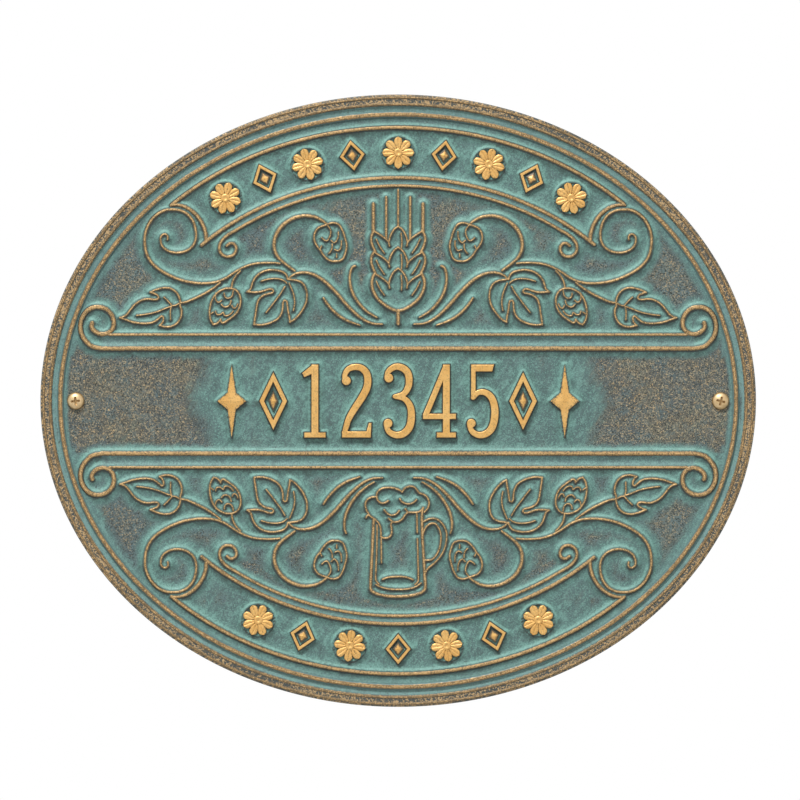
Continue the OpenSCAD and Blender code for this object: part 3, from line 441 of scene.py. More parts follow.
def ear_outline():
    first, second = EAR_TIPS[:2]
    side = [from_tip(first, TIER_MIDDLE), from_tip(first, TIER_EDGE[::-1]), from_tip(first, TIER_SIDE)]
    side += [from_tip(second, TIER_SIDE), np.array(EAR_BOWL, float)]
    right = np.vstack([curve_above(part) for part in side])
    return np.vstack([right, right[::-1] * (-1, 1)])


def mug_lines():
    inside = [line(part, LINE_W * 0.93) for part in MUG_INSIDE + FOAM_FOLDS]
    outside = [line(part) for part in MUG_HANDLE + FOAM]
    return [line(MUG_WALL, STEM_W)] + outside + inside


LEAVES = {
    "inner_leaf": (INNER_LEAF, INNER_LEAF_VEINS),
    "outer_leaf": (OUTER_LEAF, OUTER_LEAF_VEINS),
    "inner_hop": (INNER_HOP, INNER_HOP_SCALES),
    "outer_hop": (OUTER_HOP, OUTER_HOP_SCALES),
}
ROWS = {"upper": 1, "lower": -1}
SIDES = {"left": -1, "right": 1}

# Lines and pads of each node, in their places
LINES = {"barley_ear": ear_lines(), "mug": turned(mug_lines(), 1, -1)}
PADS = {"barley_ear": ear_outline()}
for row, up in ROWS.items():
    LINES[f"{row}_banner"] = turned(banner_lines(), 1, up)
    LINES[f"{row}_arch_line"] = turned(arch_line(), 1, up)
    LINES[f"{row}_rail"] = turned(rail_lines(), 1, up)
    for side, across in SIDES.items():
        LINES[f"{row}_{side}_vine"] = turned(vine_lines(up), across, up)
        for leaf, (outline, veins) in LEAVES.items():
            LINES[f"{row}_{side}_{leaf}"] = turned(leaf_lines(outline, veins), across, up)
            PADS[f"{row}_{side}_{leaf}"] = leaf_outline(outline) * (across, up)

# Figures, drawn up from the foot

BALL_R = 2.3


def slab(x0, y0, x1, y1):
    return np.array([(x0, y0), (x1, y0), (x1, y1), (x0, y1)], float)


def disc(x, y, radius, count=32):
    angles = np.arange(count) * math.tau / count
    return np.column_stack([x + radius * np.cos(angles), y + radius * np.sin(angles)])


def bowed(points, start, middle, end):
    return outline_of(swelling(smooth(points, 0.6), start, middle, end))


def one():
    flag = [(1.8, 38), (-1.2, 38), (-6.6, 33.6), (-5.6, 31.4), (-1.8, 33)]
    return [slab(-1.8, 0, 1.8, 38), slab(-5.6, 0, 5.6, 2.6), flag]


def two():
    neck = [(-6.1, 30), (-6, 32.9), (-4.2, 35.6), (-1, 36.7), (2.4, 36.2), (5, 33.8), (5.9, 30),
        (5.2, 25.5), (2.6, 20.5), (-0.9, 15.2), (-4.2, 9.4), (-6.2, 2.4)]
    foot = [(-7.6, 0), (7.4, 0), (7.8, 7.6), (6.4, 7.6), (5.2, 3.2), (-7.6, 3.2)]
    return [disc(-5.3, 29.6, BALL_R), bowed(neck, 2.4, 3.8, 2.6), foot]


def three():
    upper = [(-6, 31.4), (-5, 34.5), (-1.9, 36.7), (1.6, 36.5), (4.6, 34.3), (5.7, 30.6), (5.2, 26.2),
        (2.7, 22.6), (-1.8, 21.3)]
    lower = [(-1.8, 21.3), (3, 20.3), (6, 16.8), (6.9, 11.6), (6, 5.8), (2.9, 2.1), (-1.2, 1.3),
        (-4.9, 3.2), (-6.4, 7)]
    balls = [disc(-4.9, 31, BALL_R), disc(-5.3, 7.4, BALL_R)]
    return balls + [bowed(upper, 2.4, 3.7, 2.2), bowed(lower, 2.2, 3.9, 2.4)]


def four():
    slope = [(2, 38), (-8.8, 12), (-5.6, 12), (5.2, 38)]
    return [slab(1.6, 0, 5.2, 38), slab(-1.6, 0, 8.4, 2.6), slab(-8.8, 9.6, 8.4, 12.4), slope]


def five():
    flag = [(-5.4, 34.4), (5.6, 34.4), (6.6, 38), (-5.4, 38)]
    bowl = [(-4.4, 20.8), (-1.6, 23.4), (2, 23.4), (5.2, 20.8), (6.8, 16), (6.9, 10.8), (5.6, 5.4),
        (2.6, 2.1), (-1.4, 1.3), (-4.9, 3.2), (-6.4, 7)]
    return [flag, slab(-5.4, 20.2, -3, 38), disc(-5.3, 7.4, BALL_R), bowed(bowl, 2.4, 3.9, 2.4)]


def joined_outlines(shapes):
    """Outlines of shapes that overlap, each with the metal on its left."""
    points, faces = [], []
    for shape in shapes:
        x, y = np.asarray(shape, float).T
        area = np.dot(x, np.roll(y, -1)) - np.dot(y, np.roll(x, -1))
        order = range(len(points), len(points) + len(shape))
        faces.append(list(order) if area > 0 else list(order)[::-1])
        points += [Vector(p) for p in shape]
    places, _, cells, _, _, sources = geometry.delaunay_2d_cdt(points, [], faces, 0, 1e-6, True)
    sides = set()
    for cell, source in zip(cells, sources):
        if source:
            sides.update(zip(cell, cell[1:] + cell[:1]))
    following = {a: b for a, b in sides if (b, a) not in sides}
    loops = []
    while following:
        start, here = following.popitem()
        loop = [start]
        while here != start:
            loop.append(here)
            here = following.pop(here)
        loops.append(np.array([places[i] for i in loop]))
    return loops


def rhombus(w, h):
    return np.array([(0, h), (-w, 0), (0, -h), (w, 0)], float)


def lozenge(w, h, band):
    """Outer edge, inner edge and pip."""
    return [rhombus(w - inset, h - inset * h / w) for inset in (0, band, 1.9 * band)]


STAR = np.array([(0, 19), (-2.1, 4.4), (-7.4, 0), (-2.1, -4.4), (0, -19), (2.1, -4.4), (7.4, 0),
    (2.1, 4.4)])
PANEL_LOZENGE = lozenge(7.2, 15, 2.4)
BANNER_LOZENGE = lozenge(6.4, 7.8, 1.8)
PETAL_SIDE = [(0, 1), (1.5, 3.2), (2.2, 5.3), (1.9, 7.2), (0, 8.2)]
ROSETTE_R = 8.2


def in_row(shape, place_no):
    return np.asarray(shape, float) * (FIGURE_H / DRAWN_FIGURE_H) + (place_no * FIGURE_PITCH, 0)


FIGURES = {}
for number, drawn in enumerate((one, two, three, four, five)):
    shapes = [in_row(np.asarray(s, float) - (0, DRAWN_FIGURE_H / 2), number - 2) for s in drawn()]
    FIGURES[f"figure_{number + 1}"] = joined_outlines(shapes)


def banner_places(up, step, numbers):
    """Middle and lean of each mark on a banner."""
    inset = (BANNER_OUT_IN + BANNER_LOW_IN) / 2
    places = []
    for i in numbers:
        angle = math.radians(step * i)
        places.append((oval_points(inset, [angle])[0] * (1, up), -oval_lean(inset, angle) * up))
    return places


def leaned(shape, place):
    middle, lean = place
    turn = np.array([[math.cos(lean), -math.sin(lean)], [math.sin(lean), math.cos(lean)]])
    return shape @ turn.T + middle


ROSETTES = {
    "upper_banner_rosettes": banner_places(1, UPPER_STEP, range(-4, 5, 2)),
    "lower_banner_rosettes": banner_places(-1, LOWER_STEP, range(-3, 4, 2)),
}
LOZENGES = {
    "upper_banner_lozenges": banner_places(1, UPPER_STEP, range(-3, 4, 2)),
    "lower_banner_lozenges": banner_places(-1, LOWER_STEP, range(-2, 3, 2)),
}

# Ground between the raised pieces

Ground = namedtuple("Ground", "lines marks ledge wash cove height")

# Rise and reach of the hollow slopes at the foot of the relief
LINE_FLANK = (1.15, 4.6)
RIM_FLANK = (0.55, 3)
BORDER_FLANK = (0.2, 2)
MARK_FLANK = (0.8, 3.2)
PAD_FLANK = (0.55, 2.8)
PAD_RISE = 0.5

# How far the verdigris spreads from the lines, in each part of the field, and from the marks
VINE_SPREAD = 9.5
BY_EAR_SPREAD = 4
UNDER_ARCH_SPREAD = 5
PANEL_SPREAD = 5.5
PANEL_END_SPREAD = 3.4
BANNER_SPREAD = 18
MARK_SPREAD = 17

# Where the spread falls off: towards the outer leaves by a loss, and beside the ear
OUTER_LEAF_X = (105, 130)
UPPER_END_LOSS = 3
LOWER_END_LOSS = 1.5
BESIDE_EAR_X = (28, 40)
BESIDE_EAR_Y = (50, 66)
UNDER_ARCH_W = 8

# Size and height of the waves in the cast ground
WAVES = ((17, 0.1), (5, 0.03))

# Length of the steps between the points that distances are measured from
EDGE_STEP = 0.3

# Depth to which raised pieces go into the field
SUNK = 0.3


class Edges:
    """Tells how far places are from the nearest edge of a set of lines and outlines."""

    def __init__(self, points, half):
        self.half = half
        self.tree = kdtree.KDTree(len(points))
        for i, (x, y) in enumerate(points):
            self.tree.insert((x, y, 0), i)
        self.tree.balance()

    def away(self, x, y):
        """Distance, and how much a place lies above its nearest edge, from -1 to 1."""
        found = (self.tree.find_n((a, b, 0), 4) for a, b in zip(x, y))
        nearest = [min((d - self.half[i], d, c.x, c.y) for c, i, d in near) for near in found]
        away, span, _, cy = np.array(nearest).T
        return np.maximum(away, 0), (y - cy) / np.maximum(span, 1e-6)


def line_edges():
    """Edges of the lines, with four places to measure from in each of their steps."""
    strokes = [s for group in LINES.values() for s in group]
    strokes += [even(oval(BORDER_IN), BORDER_W), even(oval(RIM_W), 0)]
    points, half = [], []
    for s in strokes:
        index = np.arange(len(s.points))
        at = np.arange(0, index[-1] + 0.1, 0.25)
        points.append(np.column_stack([np.interp(at, index, column) for column in s.points.T]))
        half.append(np.interp(at, index, s.half))
    return Edges(np.vstack(points), np.concatenate(half))


def resampled(loop):
    sides = zip(loop, np.roll(loop, -1, 0))
    return np.vstack([np.linspace(a, b, max(2, round(math.dist(a, b) / EDGE_STEP)), endpoint=False)
        for a, b in sides])


def mark_edges():
    loops = [loop for figure in FIGURES.values() for loop in figure]
    for across in (-1, 1):
        loops += [in_row(loop, 3 * across) for loop in PANEL_LOZENGE[:2]]
        loops.append(in_row(STAR, 4 * across))
    for places in LOZENGES.values():
        loops += [leaned(loop, place) for place in places for loop in BANNER_LOZENGE[:2]]
    for places in ROSETTES.values():
        loops += [disc(*middle, ROSETTE_R) for middle, _ in places]
    points = np.vstack([resampled(loop) for loop in loops])
    return Edges(points, np.zeros(len(points)))


EDGES_OF_LINES = line_edges()
EDGES_OF_MARKS = mark_edges()


def flank(away, rise, reach):
    """Hollow slope at the foot of the relief."""
    away = np.maximum(away, 0)
    return rise * np.clip(1 - away / reach, 0, 1) ** 2.5


def unevenness(x, y, size, height):
    return height * np.array([noise.noise((a / size, b / size, 0)) for a, b in zip(x, y)])


def wash_of(from_lines, from_marks, x, y):
    """How much verdigris there is: most in the banners, least at the ends of the panel."""
    inset = inset_of(x, y)
    in_panel = np.abs(y) < RAIL_Y
    loss = np.where(y > 0, UPPER_END_LOSS, LOWER_END_LOSS)
    reach = VINE_SPREAD - np.interp(np.abs(x), OUTER_LEAF_X, (0, 1)) * loss
    by_ear = np.maximum(np.interp(y, BESIDE_EAR_Y, (VINE_SPREAD, BY_EAR_SPREAD)),
        np.interp(np.abs(x), BESIDE_EAR_X, (BY_EAR_SPREAD, VINE_SPREAD)))
    reach = np.minimum(reach, by_ear)
    under_arch = (inset > ARCH_IN) & (inset < ARCH_IN + UNDER_ARCH_W) & (np.abs(x) < ARCH_END_X)
    reach[under_arch] = UNDER_ARCH_SPREAD
    reach[in_panel] = PANEL_SPREAD
    reach[in_panel & (inset - BORDER_IN < RAIL_Y - np.abs(y))] = PANEL_END_SPREAD
    in_banner = (inset > BANNER_OUT_IN) & (inset < BANNER_LOW_IN) & (np.abs(x) < BANNER_HEEL_X)
    reach[in_banner] = BANNER_SPREAD
    return np.maximum(1 - from_lines / reach, 1.15 - from_marks / MARK_SPREAD).clip(0, 1)


def ground(x, y):
    """What the field is like at places between the raised pieces."""
    from_lines, above_lines = EDGES_OF_LINES.away(x, y)
    from_marks, above_marks = EDGES_OF_MARKS.away(x, y)
    # Which side of the relief a place lies on: painted light goes above it and painted shade below it
    ledge = np.where(from_lines < from_marks, above_lines, above_marks)
    wash = wash_of(from_lines, from_marks, x, y)
    inset = inset_of(x, y)
    groove = inset < BORDER_IN
    ribbon = (np.abs(y) > RAIL_Y) & (np.abs(y) < RIBBON_Y) & (np.abs(x) < RAIL_END_X)
    between = (inset > BANNER_LOW_IN) & (inset < ARCH_IN) & (np.abs(x) < ARCH_END_X)

    # How much of a cove a place is in: most in the groove, then the ribbons, then beside the ridge. Coves
    # get a bluer tint, painted light in the groove, a little painted shade, and less of the other painted
    # light and shade
    past_ridge = inset - BORDER_IN - BORDER_W / 2
    cove = np.interp(past_ridge, (0, 1, 4.9), (0.4, 1, 0))
    cove = np.where(groove, 1.5, np.where(ribbon | between, 1, cove))
    # Painted light and shade by the side of the relief are weaker near the border
    ledge = np.where(inset < BORDER_IN + 5, 0.4 * ledge, ledge)

    # Height, with slopes that are lower beside the border ridge
    in_groove = flank(inset - RIM_W, *RIM_FLANK) + flank(BORDER_IN - BORDER_W / 2 - inset, *BORDER_FLANK)
    by_lines = flank(from_lines, *LINE_FLANK) * np.clip(0.5 + (inset - BORDER_IN - 4) / 8, 0.5, 1)
    slope = np.maximum(np.where(groove, in_groove, by_lines), flank(from_marks, *MARK_FLANK))
    height = FIELD_TOP + slope + sum(unevenness(x, y, *wave) for wave in WAVES)
    return Ground(from_lines, from_marks, ledge, wash, cove, height)


# Meshes

def smoothed(mesh, sharp):
    """Smooths all but the edges sharper than an angle in degrees."""
    mesh.shade_smooth()
    mesh.set_sharp_from_angle(angle=math.radians(sharp))
    return mesh


def finished(mesh, sharp):
    """Merges doubles, points the faces outwards and smooths the mesh."""
    bm = bmesh.new()
    bm.from_mesh(mesh)
    bmesh.ops.remove_doubles(bm, verts=bm.verts, dist=1e-4)
    bmesh.ops.recalc_face_normals(bm, faces=bm.faces)
    bm.to_mesh(mesh)
    bm.free()
    return smoothed(mesh, sharp)


def ground_block(name, x, y, keep, low, lift=None):
    """Closed block on a square grid whose top follows the ground, or lifts it."""
    across, up = np.meshgrid(x, y)
    used = np.zeros(across.shape, bool)
    for down, right in ((0, 0), (0, 1), (1, 0), (1, 1)):
        used[down:down + keep.shape[0], right:right + keep.shape[1]] |= keep
    number = np.cumsum(used).reshape(used.shape) - 1
    corners = [number[:-1, :-1], number[:-1, 1:], number[1:, 1:], number[1:, :-1]]
    faces = np.column_stack([c[keep] for c in corners])
    px, py = across[used], up[used]
    here = ground(px, py)
    height = here.height
    if lift:
        height = lift(here)
        # Pads count as a little cove: a bluer tint and less painted shade
        here = here._replace(cove=np.full(len(px), 0.25))
    mesh = bpy.data.meshes.new(name)
    mesh.from_pydata(np.column_stack([px, py, height]).tolist(), [], faces.tolist())
    bm = bmesh.new()
    bm.from_mesh(mesh)
    rim = [e for e in bm.edges if e.is_boundary]
    walls = bmesh.ops.extrude_edge_only(bm, edges=rim)["geom"]
    for v in walls:
        if isinstance(v, bmesh.types.BMVert):
            v.co.z = low
    foot = [e for e in walls if isinstance(e, bmesh.types.BMEdge)]
    bmesh.ops.edgeloop_fill(bm, edges=foot)
    bmesh.ops.recalc_face_normals(bm, faces=bm.faces)
    bm.to_mesh(mesh)
    bm.free()
    for key in ("lines", "marks", "ledge", "wash", "cove"):
        layer = mesh.attributes.new(key, "FLOAT", "POINT")
        values = getattr(here, key)
        layer.data.foreach_set("value", np.pad(values, (0, len(mesh.vertices) - len(values))))
    return smoothed(mesh, 60)


def field_mesh(name, low, high):
    """Front of the plate between two heights. Its stepped edge is hidden in the rim."""
    x = np.arange(-HALF_W, HALF_W + CELL, CELL)
    y = np.linspace(low, high, round((high - low) / CELL) + 1)
    hidden_in = RIM_W - 1.6
    across, up = np.meshgrid(x, y)
    inside = (across / (HALF_W - hidden_in)) ** 2 + (up / (HALF_H - hidden_in)) ** 2 < 1
    keep = inside[:-1, :-1] & inside[:-1, 1:] & inside[1:, :-1] & inside[1:, 1:]
    return ground_block(name, x, y, keep, RECESS + SKIN_T / 2)


def lifted(here):
    """Top of the low pad in a leaf, cone or ear."""
    hollow = flank(here.lines, *LINE_FLANK) - flank(here.lines, *PAD_FLANK)
    return here.height + PAD_RISE - hollow


def pad_mesh(name, outline):
    """Pad that fills an outline. Its stepped edge is hidden under the outline's line."""
    low, high = outline.min(0), outline.max(0)
    x = np.arange(low[0], high[0] + PAD_CELL, PAD_CELL)
    y = np.arange(low[1], high[1] + PAD_CELL, PAD_CELL)
    across, up = np.meshgrid(x[:-1] + PAD_CELL / 2, y[:-1] + PAD_CELL / 2)
    inside = np.zeros(across.shape, bool)
    for (ax, ay), (bx, by) in zip(outline, np.roll(outline, -1, 0)):
        if ay != by:
            crossing = (up > ay) != (up > by)
            inside ^= crossing & (across < ax + (up - ay) * (bx - ax) / (by - ay))
    return ground_block(name, x, y, inside, FIELD_TOP - SUNK, lifted)


def at_height(points, z):
    return [(x, y, z) for x, y in points]


def skin(name, rings, closed=False, capped=False, sharp=40):
    """Skin over rings with as many points each."""
    count, last = len(rings[0]), len(rings) - 1
    faces = []
    for k in range(len(rings) if closed else last):
        a, b = k * count, (k + 1) % len(rings) * count
        faces += [(a + i, a + (i + 1) % count, b + (i + 1) % count, b + i) for i in range(count)]
    if capped:
        faces += [list(range(count)), list(range(last * count, (last + 1) * count))]
    mesh = bpy.data.meshes.new(name)
    mesh.from_pydata([p for ring in rings for p in ring], [], faces)
    return finished(mesh, sharp)


def lathe(name, profile, middle=(0, 0), count=48, closed=False):
    """Turned shape round an upright axis, from radii and heights."""
    return skin(name, [at_height(disc(*middle, r, count), z) for r, z in profile], closed)


def rim_mesh():
    """Band between the two beads, a little hollow, with the wall that stands round the back."""
    top, edge = RIM_TOP, 0.35
    profile = [(0.05, 0.25), (0, 0.5), (0, top - 0.9), (0.08, top - edge), (edge, top - 0.08),
        (OUTER_BEAD_IN - 0.5, top), (2.4, top - 0.04), (3.2, top - 0.06), (4, top - 0.04),
        (RIM_W - 0.6, top), (RIM_W - 0.2, top - 0.1), (RIM_W, top - edge), (RIM_W, RECESS + 0.4),
        (WALL_W, RECESS + 0.4), (WALL_W, 0.4), (WALL_W - 0.1, 0.1), (WALL_W - 0.4, 0), (0.6, 0),
        (0.25, 0.06)]
    return skin("rim", [at_height(oval(inset), z) for inset, z in profile], closed=True)


def back_mesh():
    """Floor of the hollow back, rounded up to the wall at its edge."""
    hidden = RECESS + SKIN_T / 2 + 0.2
    flat_in = WALL_W + 3.4
    profile = [(RIM_W + 0.5, hidden), (RIM_W + 0.5, RECESS + 0.5), (WALL_W - 0.3, RECESS + 0.3),
        (WALL_W - 0.3, RECESS - 1.5), (WALL_W + 0.2, RECESS - 0.9), (WALL_W + 0.9, RECESS - 0.35),
        (WALL_W + 2, RECESS - 0.06), (flat_in, RECESS)]
    rings = [at_height(oval(inset), z) for inset, z in profile]
    rings += [at_height(oval(flat_in) * share, RECESS) for share in np.arange(0.97, 0.02, -0.03)]
    return skin("field_back", rings, capped=True, sharp=60)


def facetted(name, shapes, edge_rise, rise):
    """Shapes whose faces slope up from the outline to the middle."""
    parts = []
    for shape in shapes:
        tip = np.tile(shape.mean(0), (len(shape), 1))
        levels = (shape, -SUNK), (shape, edge_rise), (tip, rise)
        rings = [at_height(points, FIELD_TOP + z) for points, z in levels]
        parts.append(skin(name, rings, capped=True, sharp=12))
    return joined(name, parts)


def add_loop(curve, points, closed=True):
    """Adds a line through flat points to a curve."""
    spline = curve.splines.new("POLY")
    count = len(points)
    spline.points.add(count - 1)
    spline.points.foreach_set("co", np.column_stack([points, np.zeros(count), np.ones(count)]).ravel())
    spline.use_cyclic_u = closed
    return spline


def cut_shape(name, loops, rise, edge=0.35, spread=0.0):
    """Flat-topped shape with softened edges, sunk a little into the field."""
    curve = bpy.data.curves.new(name, "CURVE")
    curve.dimensions = "2D"
    curve.fill_mode = "BOTH"
    curve.bevel_depth = edge
    curve.bevel_resolution = 1
    curve.offset = spread - edge
    curve.extrude = (rise + SUNK) / 2 - edge
    for loop in loops:
        add_loop(curve, loop)
    mesh = evaluated_mesh(put_in_scene(name, curve))
    mesh.transform(Matrix.Translation((0, 0, FIELD_TOP + (rise - SUNK) / 2)))
    mesh = finished(mesh, 35)
    for face in mesh.polygons:
        face.use_smooth = abs(face.normal.z) < 0.99
    return mesh


def footed_shape(name, loops, rise):
    """Cut shape on a foot that spreads a little beyond it."""
    return joined(name, [cut_shape(name, loops, rise), cut_shape(name, loops, 1.0, 0.3, 0.5)])


def put_in_scene(name, data):
    made = bpy.data.objects.new(name, data)
    bpy.context.scene.collection.objects.link(made)
    return made


def evaluated_mesh(source):
    """Plain mesh of an object as its modifiers make it. The object is used up."""
    depsgraph = bpy.context.evaluated_depsgraph_get()
    mesh = bpy.data.meshes.new_from_object(source.evaluated_get(depsgraph), depsgraph=depsgraph)
    source.modifiers.clear()
    bpy.data.objects.remove(source)
    return mesh


def joined(name, meshes):
    bm = bmesh.new()
    for mesh in meshes:
        bm.from_mesh(mesh)
    whole = bpy.data.meshes.new(name)
    bm.to_mesh(whole)
    bm.free()
    return whole


# Geometry Nodes

def add_node(tree, kind, inputs=None, **settings):
    """Adds a node, sets it up, and links or sets its inputs."""
    node = tree.nodes.new(kind)
    for key, value in settings.items():
        setattr(node, key, value)
    for key, value in (inputs or {}).items():
        if isinstance(value, bpy.types.NodeSocket):
            tree.links.new(value, node.inputs[key])
        else:
            node.inputs[key].default_value = value
    return node


class Nodes:
    """Short calls that add nodes to a tree."""

    family = "ShaderNode"

    def __init__(self, tree):
        self.tree = tree

    def add(self, kind, inputs=None, **settings):
        return add_node(self.tree, self.family + kind, inputs, **settings).outputs

    def math(self, operation, a, b):
        return add_node(self.tree, "ShaderNodeMath", {0: a, 1: b}, operation=operation).outputs[0]

    def plus(self, *values):
        return functools.reduce(lambda a, b: self.math("ADD", a, b), values)

    def times(self, a, b):
        return self.math("MULTIPLY", a, b)

    def axes(self, vector):
        return add_node(self.tree, "ShaderNodeSeparateXYZ", {0: vector}).outputs

    def vector(self, x, y, z):
        return add_node(self.tree, "ShaderNodeCombineXYZ", {0: x, 1: y, 2: z}).outputs[0]


class Recipe(Nodes):
    """A Geometry Nodes tree with named inputs."""

    family = "GeometryNode"

    def __init__(self, name, **inputs):
        super().__init__(bpy.data.node_groups.new(name, "GeometryNodeTree"))
        self.tree.interface.new_socket("Geometry", in_out="INPUT", socket_type="NodeSocketGeometry")
        self.tree.interface.new_socket("Geometry", in_out="OUTPUT", socket_type="NodeSocketGeometry")
        self.inputs = {}
        for key, kind in inputs.items():
            socket = self.tree.interface.new_socket(key, in_out="INPUT", socket_type="NodeSocket" + kind)
            self.inputs[key] = socket.identifier
        self.given = self.tree.nodes.new("NodeGroupInput").outputs

    def shape_of(self, key):
        return self.add("ObjectInfo", {"Object": self.given[key]})["Geometry"]

    def stored(self, shape, name, value):
        return self.add("StoreNamedAttribute", {"Geometry": shape, "Name": name, "Value": value})[0]

    def named(self, name):
        return self.add("InputNamedAttribute", {"Name": name})[0]

    def joined(self, first, second):
        both = self.add("JoinGeometry", {"Geometry": first})
        self.tree.links.new(second, both[0].node.inputs[0])
        return both[0]

    def end(self, made):
        """Smooths the result, makes it real and gives it its finish."""
        made = self.add("SetShadeSmooth", {"Geometry": made})[0]
        made = self.add("RealizeInstances", {"Geometry": made})[0]
        made = self.add("SetMaterial", {"Geometry": made, "Material": self.given["finish"]})[0]
        self.tree.links.new(made, self.tree.nodes.new("NodeGroupOutput").inputs[0])
        return self

    def make(self, source, **values):
        """The mesh that the tree makes on an object."""
        modifier = source.modifiers.new(self.tree.name, "NODES")
        modifier.node_group = self.tree
        for key, value in values.items():
            modifier[self.inputs[key]] = value
        return evaluated_mesh(source)


def raised_line_recipe():
    """Sweeps a section along lines whose radius is their half width, and lowers thin ends."""
    r = Recipe("raised_line", section="Object", foot="Float", rise="Float", full_half_width="Float",
        finish="Material")
    place = r.axes(r.add("InputPosition")[0])
    section = r.stored(r.shape_of("section"), "rise", r.times(place[1], -1))
    section = r.stored(section, "across", r.math("ABSOLUTE", place[0], 0.0))
    radius = r.add("InputRadius")[0]
    path = r.stored(r.given["Geometry"], "half", radius)
    swept = r.add("CurveToMesh", {"Curve": path, "Profile Curve": section, "Scale": radius,
        "Fill Caps": True})[0]
    share = r.math("DIVIDE", r.named("half"), r.given["full_half_width"])
    share = r.math("POWER", r.math("MINIMUM", share, 1.0), 0.6)
    height = r.times(r.times(r.given["rise"], share), r.named("rise"))
    target = r.vector(place[0], place[1], r.plus(r.given["foot"], height))
    return r.end(r.add("SetPosition", {"Geometry": swept, "Position": target})[0])


def rosette_recipe():
    """Petals in a ring round a boss, repeated at points that say how far each flower leans."""
    r = Recipe("rosette_row", petal="Object", boss="Object", petals="Int", finish="Material")
    ring = r.add("Points", {"Count": r.given["petals"]})[0]
    turn = r.math("DIVIDE", r.times(r.add("InputIndex")[0], math.tau), r.given["petals"])
    ring = r.add("InstanceOnPoints", {"Points": ring, "Instance": r.shape_of("petal"),
        "Rotation": r.vector(0.0, 0.0, turn)})[0]
    flower = r.joined(ring, r.shape_of("boss"))
    return r.end(r.add("InstanceOnPoints", {"Points": r.given["Geometry"], "Instance": flower,
        "Rotation": r.vector(0.0, 0.0, r.named("lean"))})[0])


def thread_recipe():
    """Thread of a screw: a straight part, then a part that narrows to the point."""
    r = Recipe("screw_thread", core_radius="Float", thread_height="Float", pitch="Float", turns="Float",
        point_length="Float", tip_radius="Float", finish="Material")
    core, pitch, point_length = r.given["core_radius"], r.given["pitch"], r.given["point_length"]
    section = r.add("CurvePrimitiveCircle", {"Resolution": 4, "Radius": r.given["thread_height"]})[0]
    body = r.add("CurveSpiral", {"Resolution": 24, "Rotations": r.given["turns"], "Start Radius": core,
        "End Radius": core, "Height": r.times(r.given["turns"], pitch)})[0]
    point = r.add("CurveSpiral", {"Resolution": 24, "Rotations": r.math("DIVIDE", point_length, pitch),
        "Start Radius": r.given["tip_radius"], "End Radius": core, "Height": point_length})[0]
    drop = r.vector(0.0, 0.0, r.times(point_length, -1))
    point = r.add("Transform", {"Geometry": point, "Translation": drop})[0]
    path = r.add("SetCurveNormal", {"Curve": r.joined(body, point)}, mode="Z_UP")[0]
    return r.end(r.add("CurveToMesh", {"Curve": path, "Profile Curve": section, "Fill Caps": True})[0])


def section_curve(name, crest_to_foot):
    """Closed section of a raised line, in half widths, with its height drawn downwards."""
    left = [(-u, v) for u, v in crest_to_foot[:0:-1]]
    curve = bpy.data.curves.new(name, "CURVE")
    curve.dimensions = "3D"
    add_loop(curve, [(u, -v) for u, v in left + crest_to_foot])
    return put_in_scene(name, curve)


def path_object(strokes):
    """Curve object of several lines."""
    curve = bpy.data.curves.new("path", "CURVE")
    curve.dimensions = "3D"
    curve.twist_mode = "Z_UP"
    for s in strokes:
        s = s if s.closed else with_round_ends(s)
        add_loop(curve, s.points, s.closed).points.foreach_set("radius", s.half)
    return put_in_scene("path", curve)


LINE_SECTION = [(0, 1), (0.26, 0.98), (0.48, 0.92), (0.68, 0.83), (0.88, 0.72), (1.06, 0.62), (1.2, 0.48),
    (1.26, 0)]
BAND_SECTION = [(0, 1), (0.38, 0.98), (0.66, 0.92), (0.86, 0.82), (1, 0.72), (1.14, 0.62), (1.26, 0.5),
    (1.32, 0)]
BEAD_SECTION = [(0, 1), (0.4, 0.95), (0.7, 0.8), (0.88, 0.5), (1, 0.1), (1, -0.3)]

# Finishes

def colour(red, green, blue):
    """Colour as it's seen on a screen, from 0 to 255, as the shader wants it."""
    parts = [c / 255 for c in (red, green, blue)]
    return (*[c / 12.92 if c < 0.04045 else ((c + 0.055) / 1.055) ** 2.4 for c in parts], 1)


TEAL = colour(94, 133, 126)
GREY_TEAL = colour(86, 112, 110)
PALE_TEAL = colour(121, 167, 156)
DEEP_TEAL = colour(72, 98, 95)
BLUE_TEAL = colour(94, 119, 121)
GROOVE_PAINTED_LIGHT_TEAL = colour(142, 182, 176)
SLATE = colour(84, 92, 92)
BROWN_SLATE = colour(98, 96, 86)
DARK = colour(42, 48, 45)
BROWN = colour(88, 76, 56)
BRONZE = colour(150, 122, 80)
PALE_BRONZE = colour(202, 166, 114)
GOLD = colour(208, 160, 88)
PALE_GOLD = colour(220, 176, 106)
OCHRE = colour(164, 150, 120)
RIM_BRONZE = colour(184, 156, 114)
RIM_DARK = colour(62, 68, 66)
BRASS = colour(206, 180, 138)
DULL_BRASS = colour(176, 142, 88)
DEEP_BRASS = colour(134, 96, 46)
BLACK_PAINT = colour(54, 54, 50)
GREY_PAINT = colour(76, 76, 70)


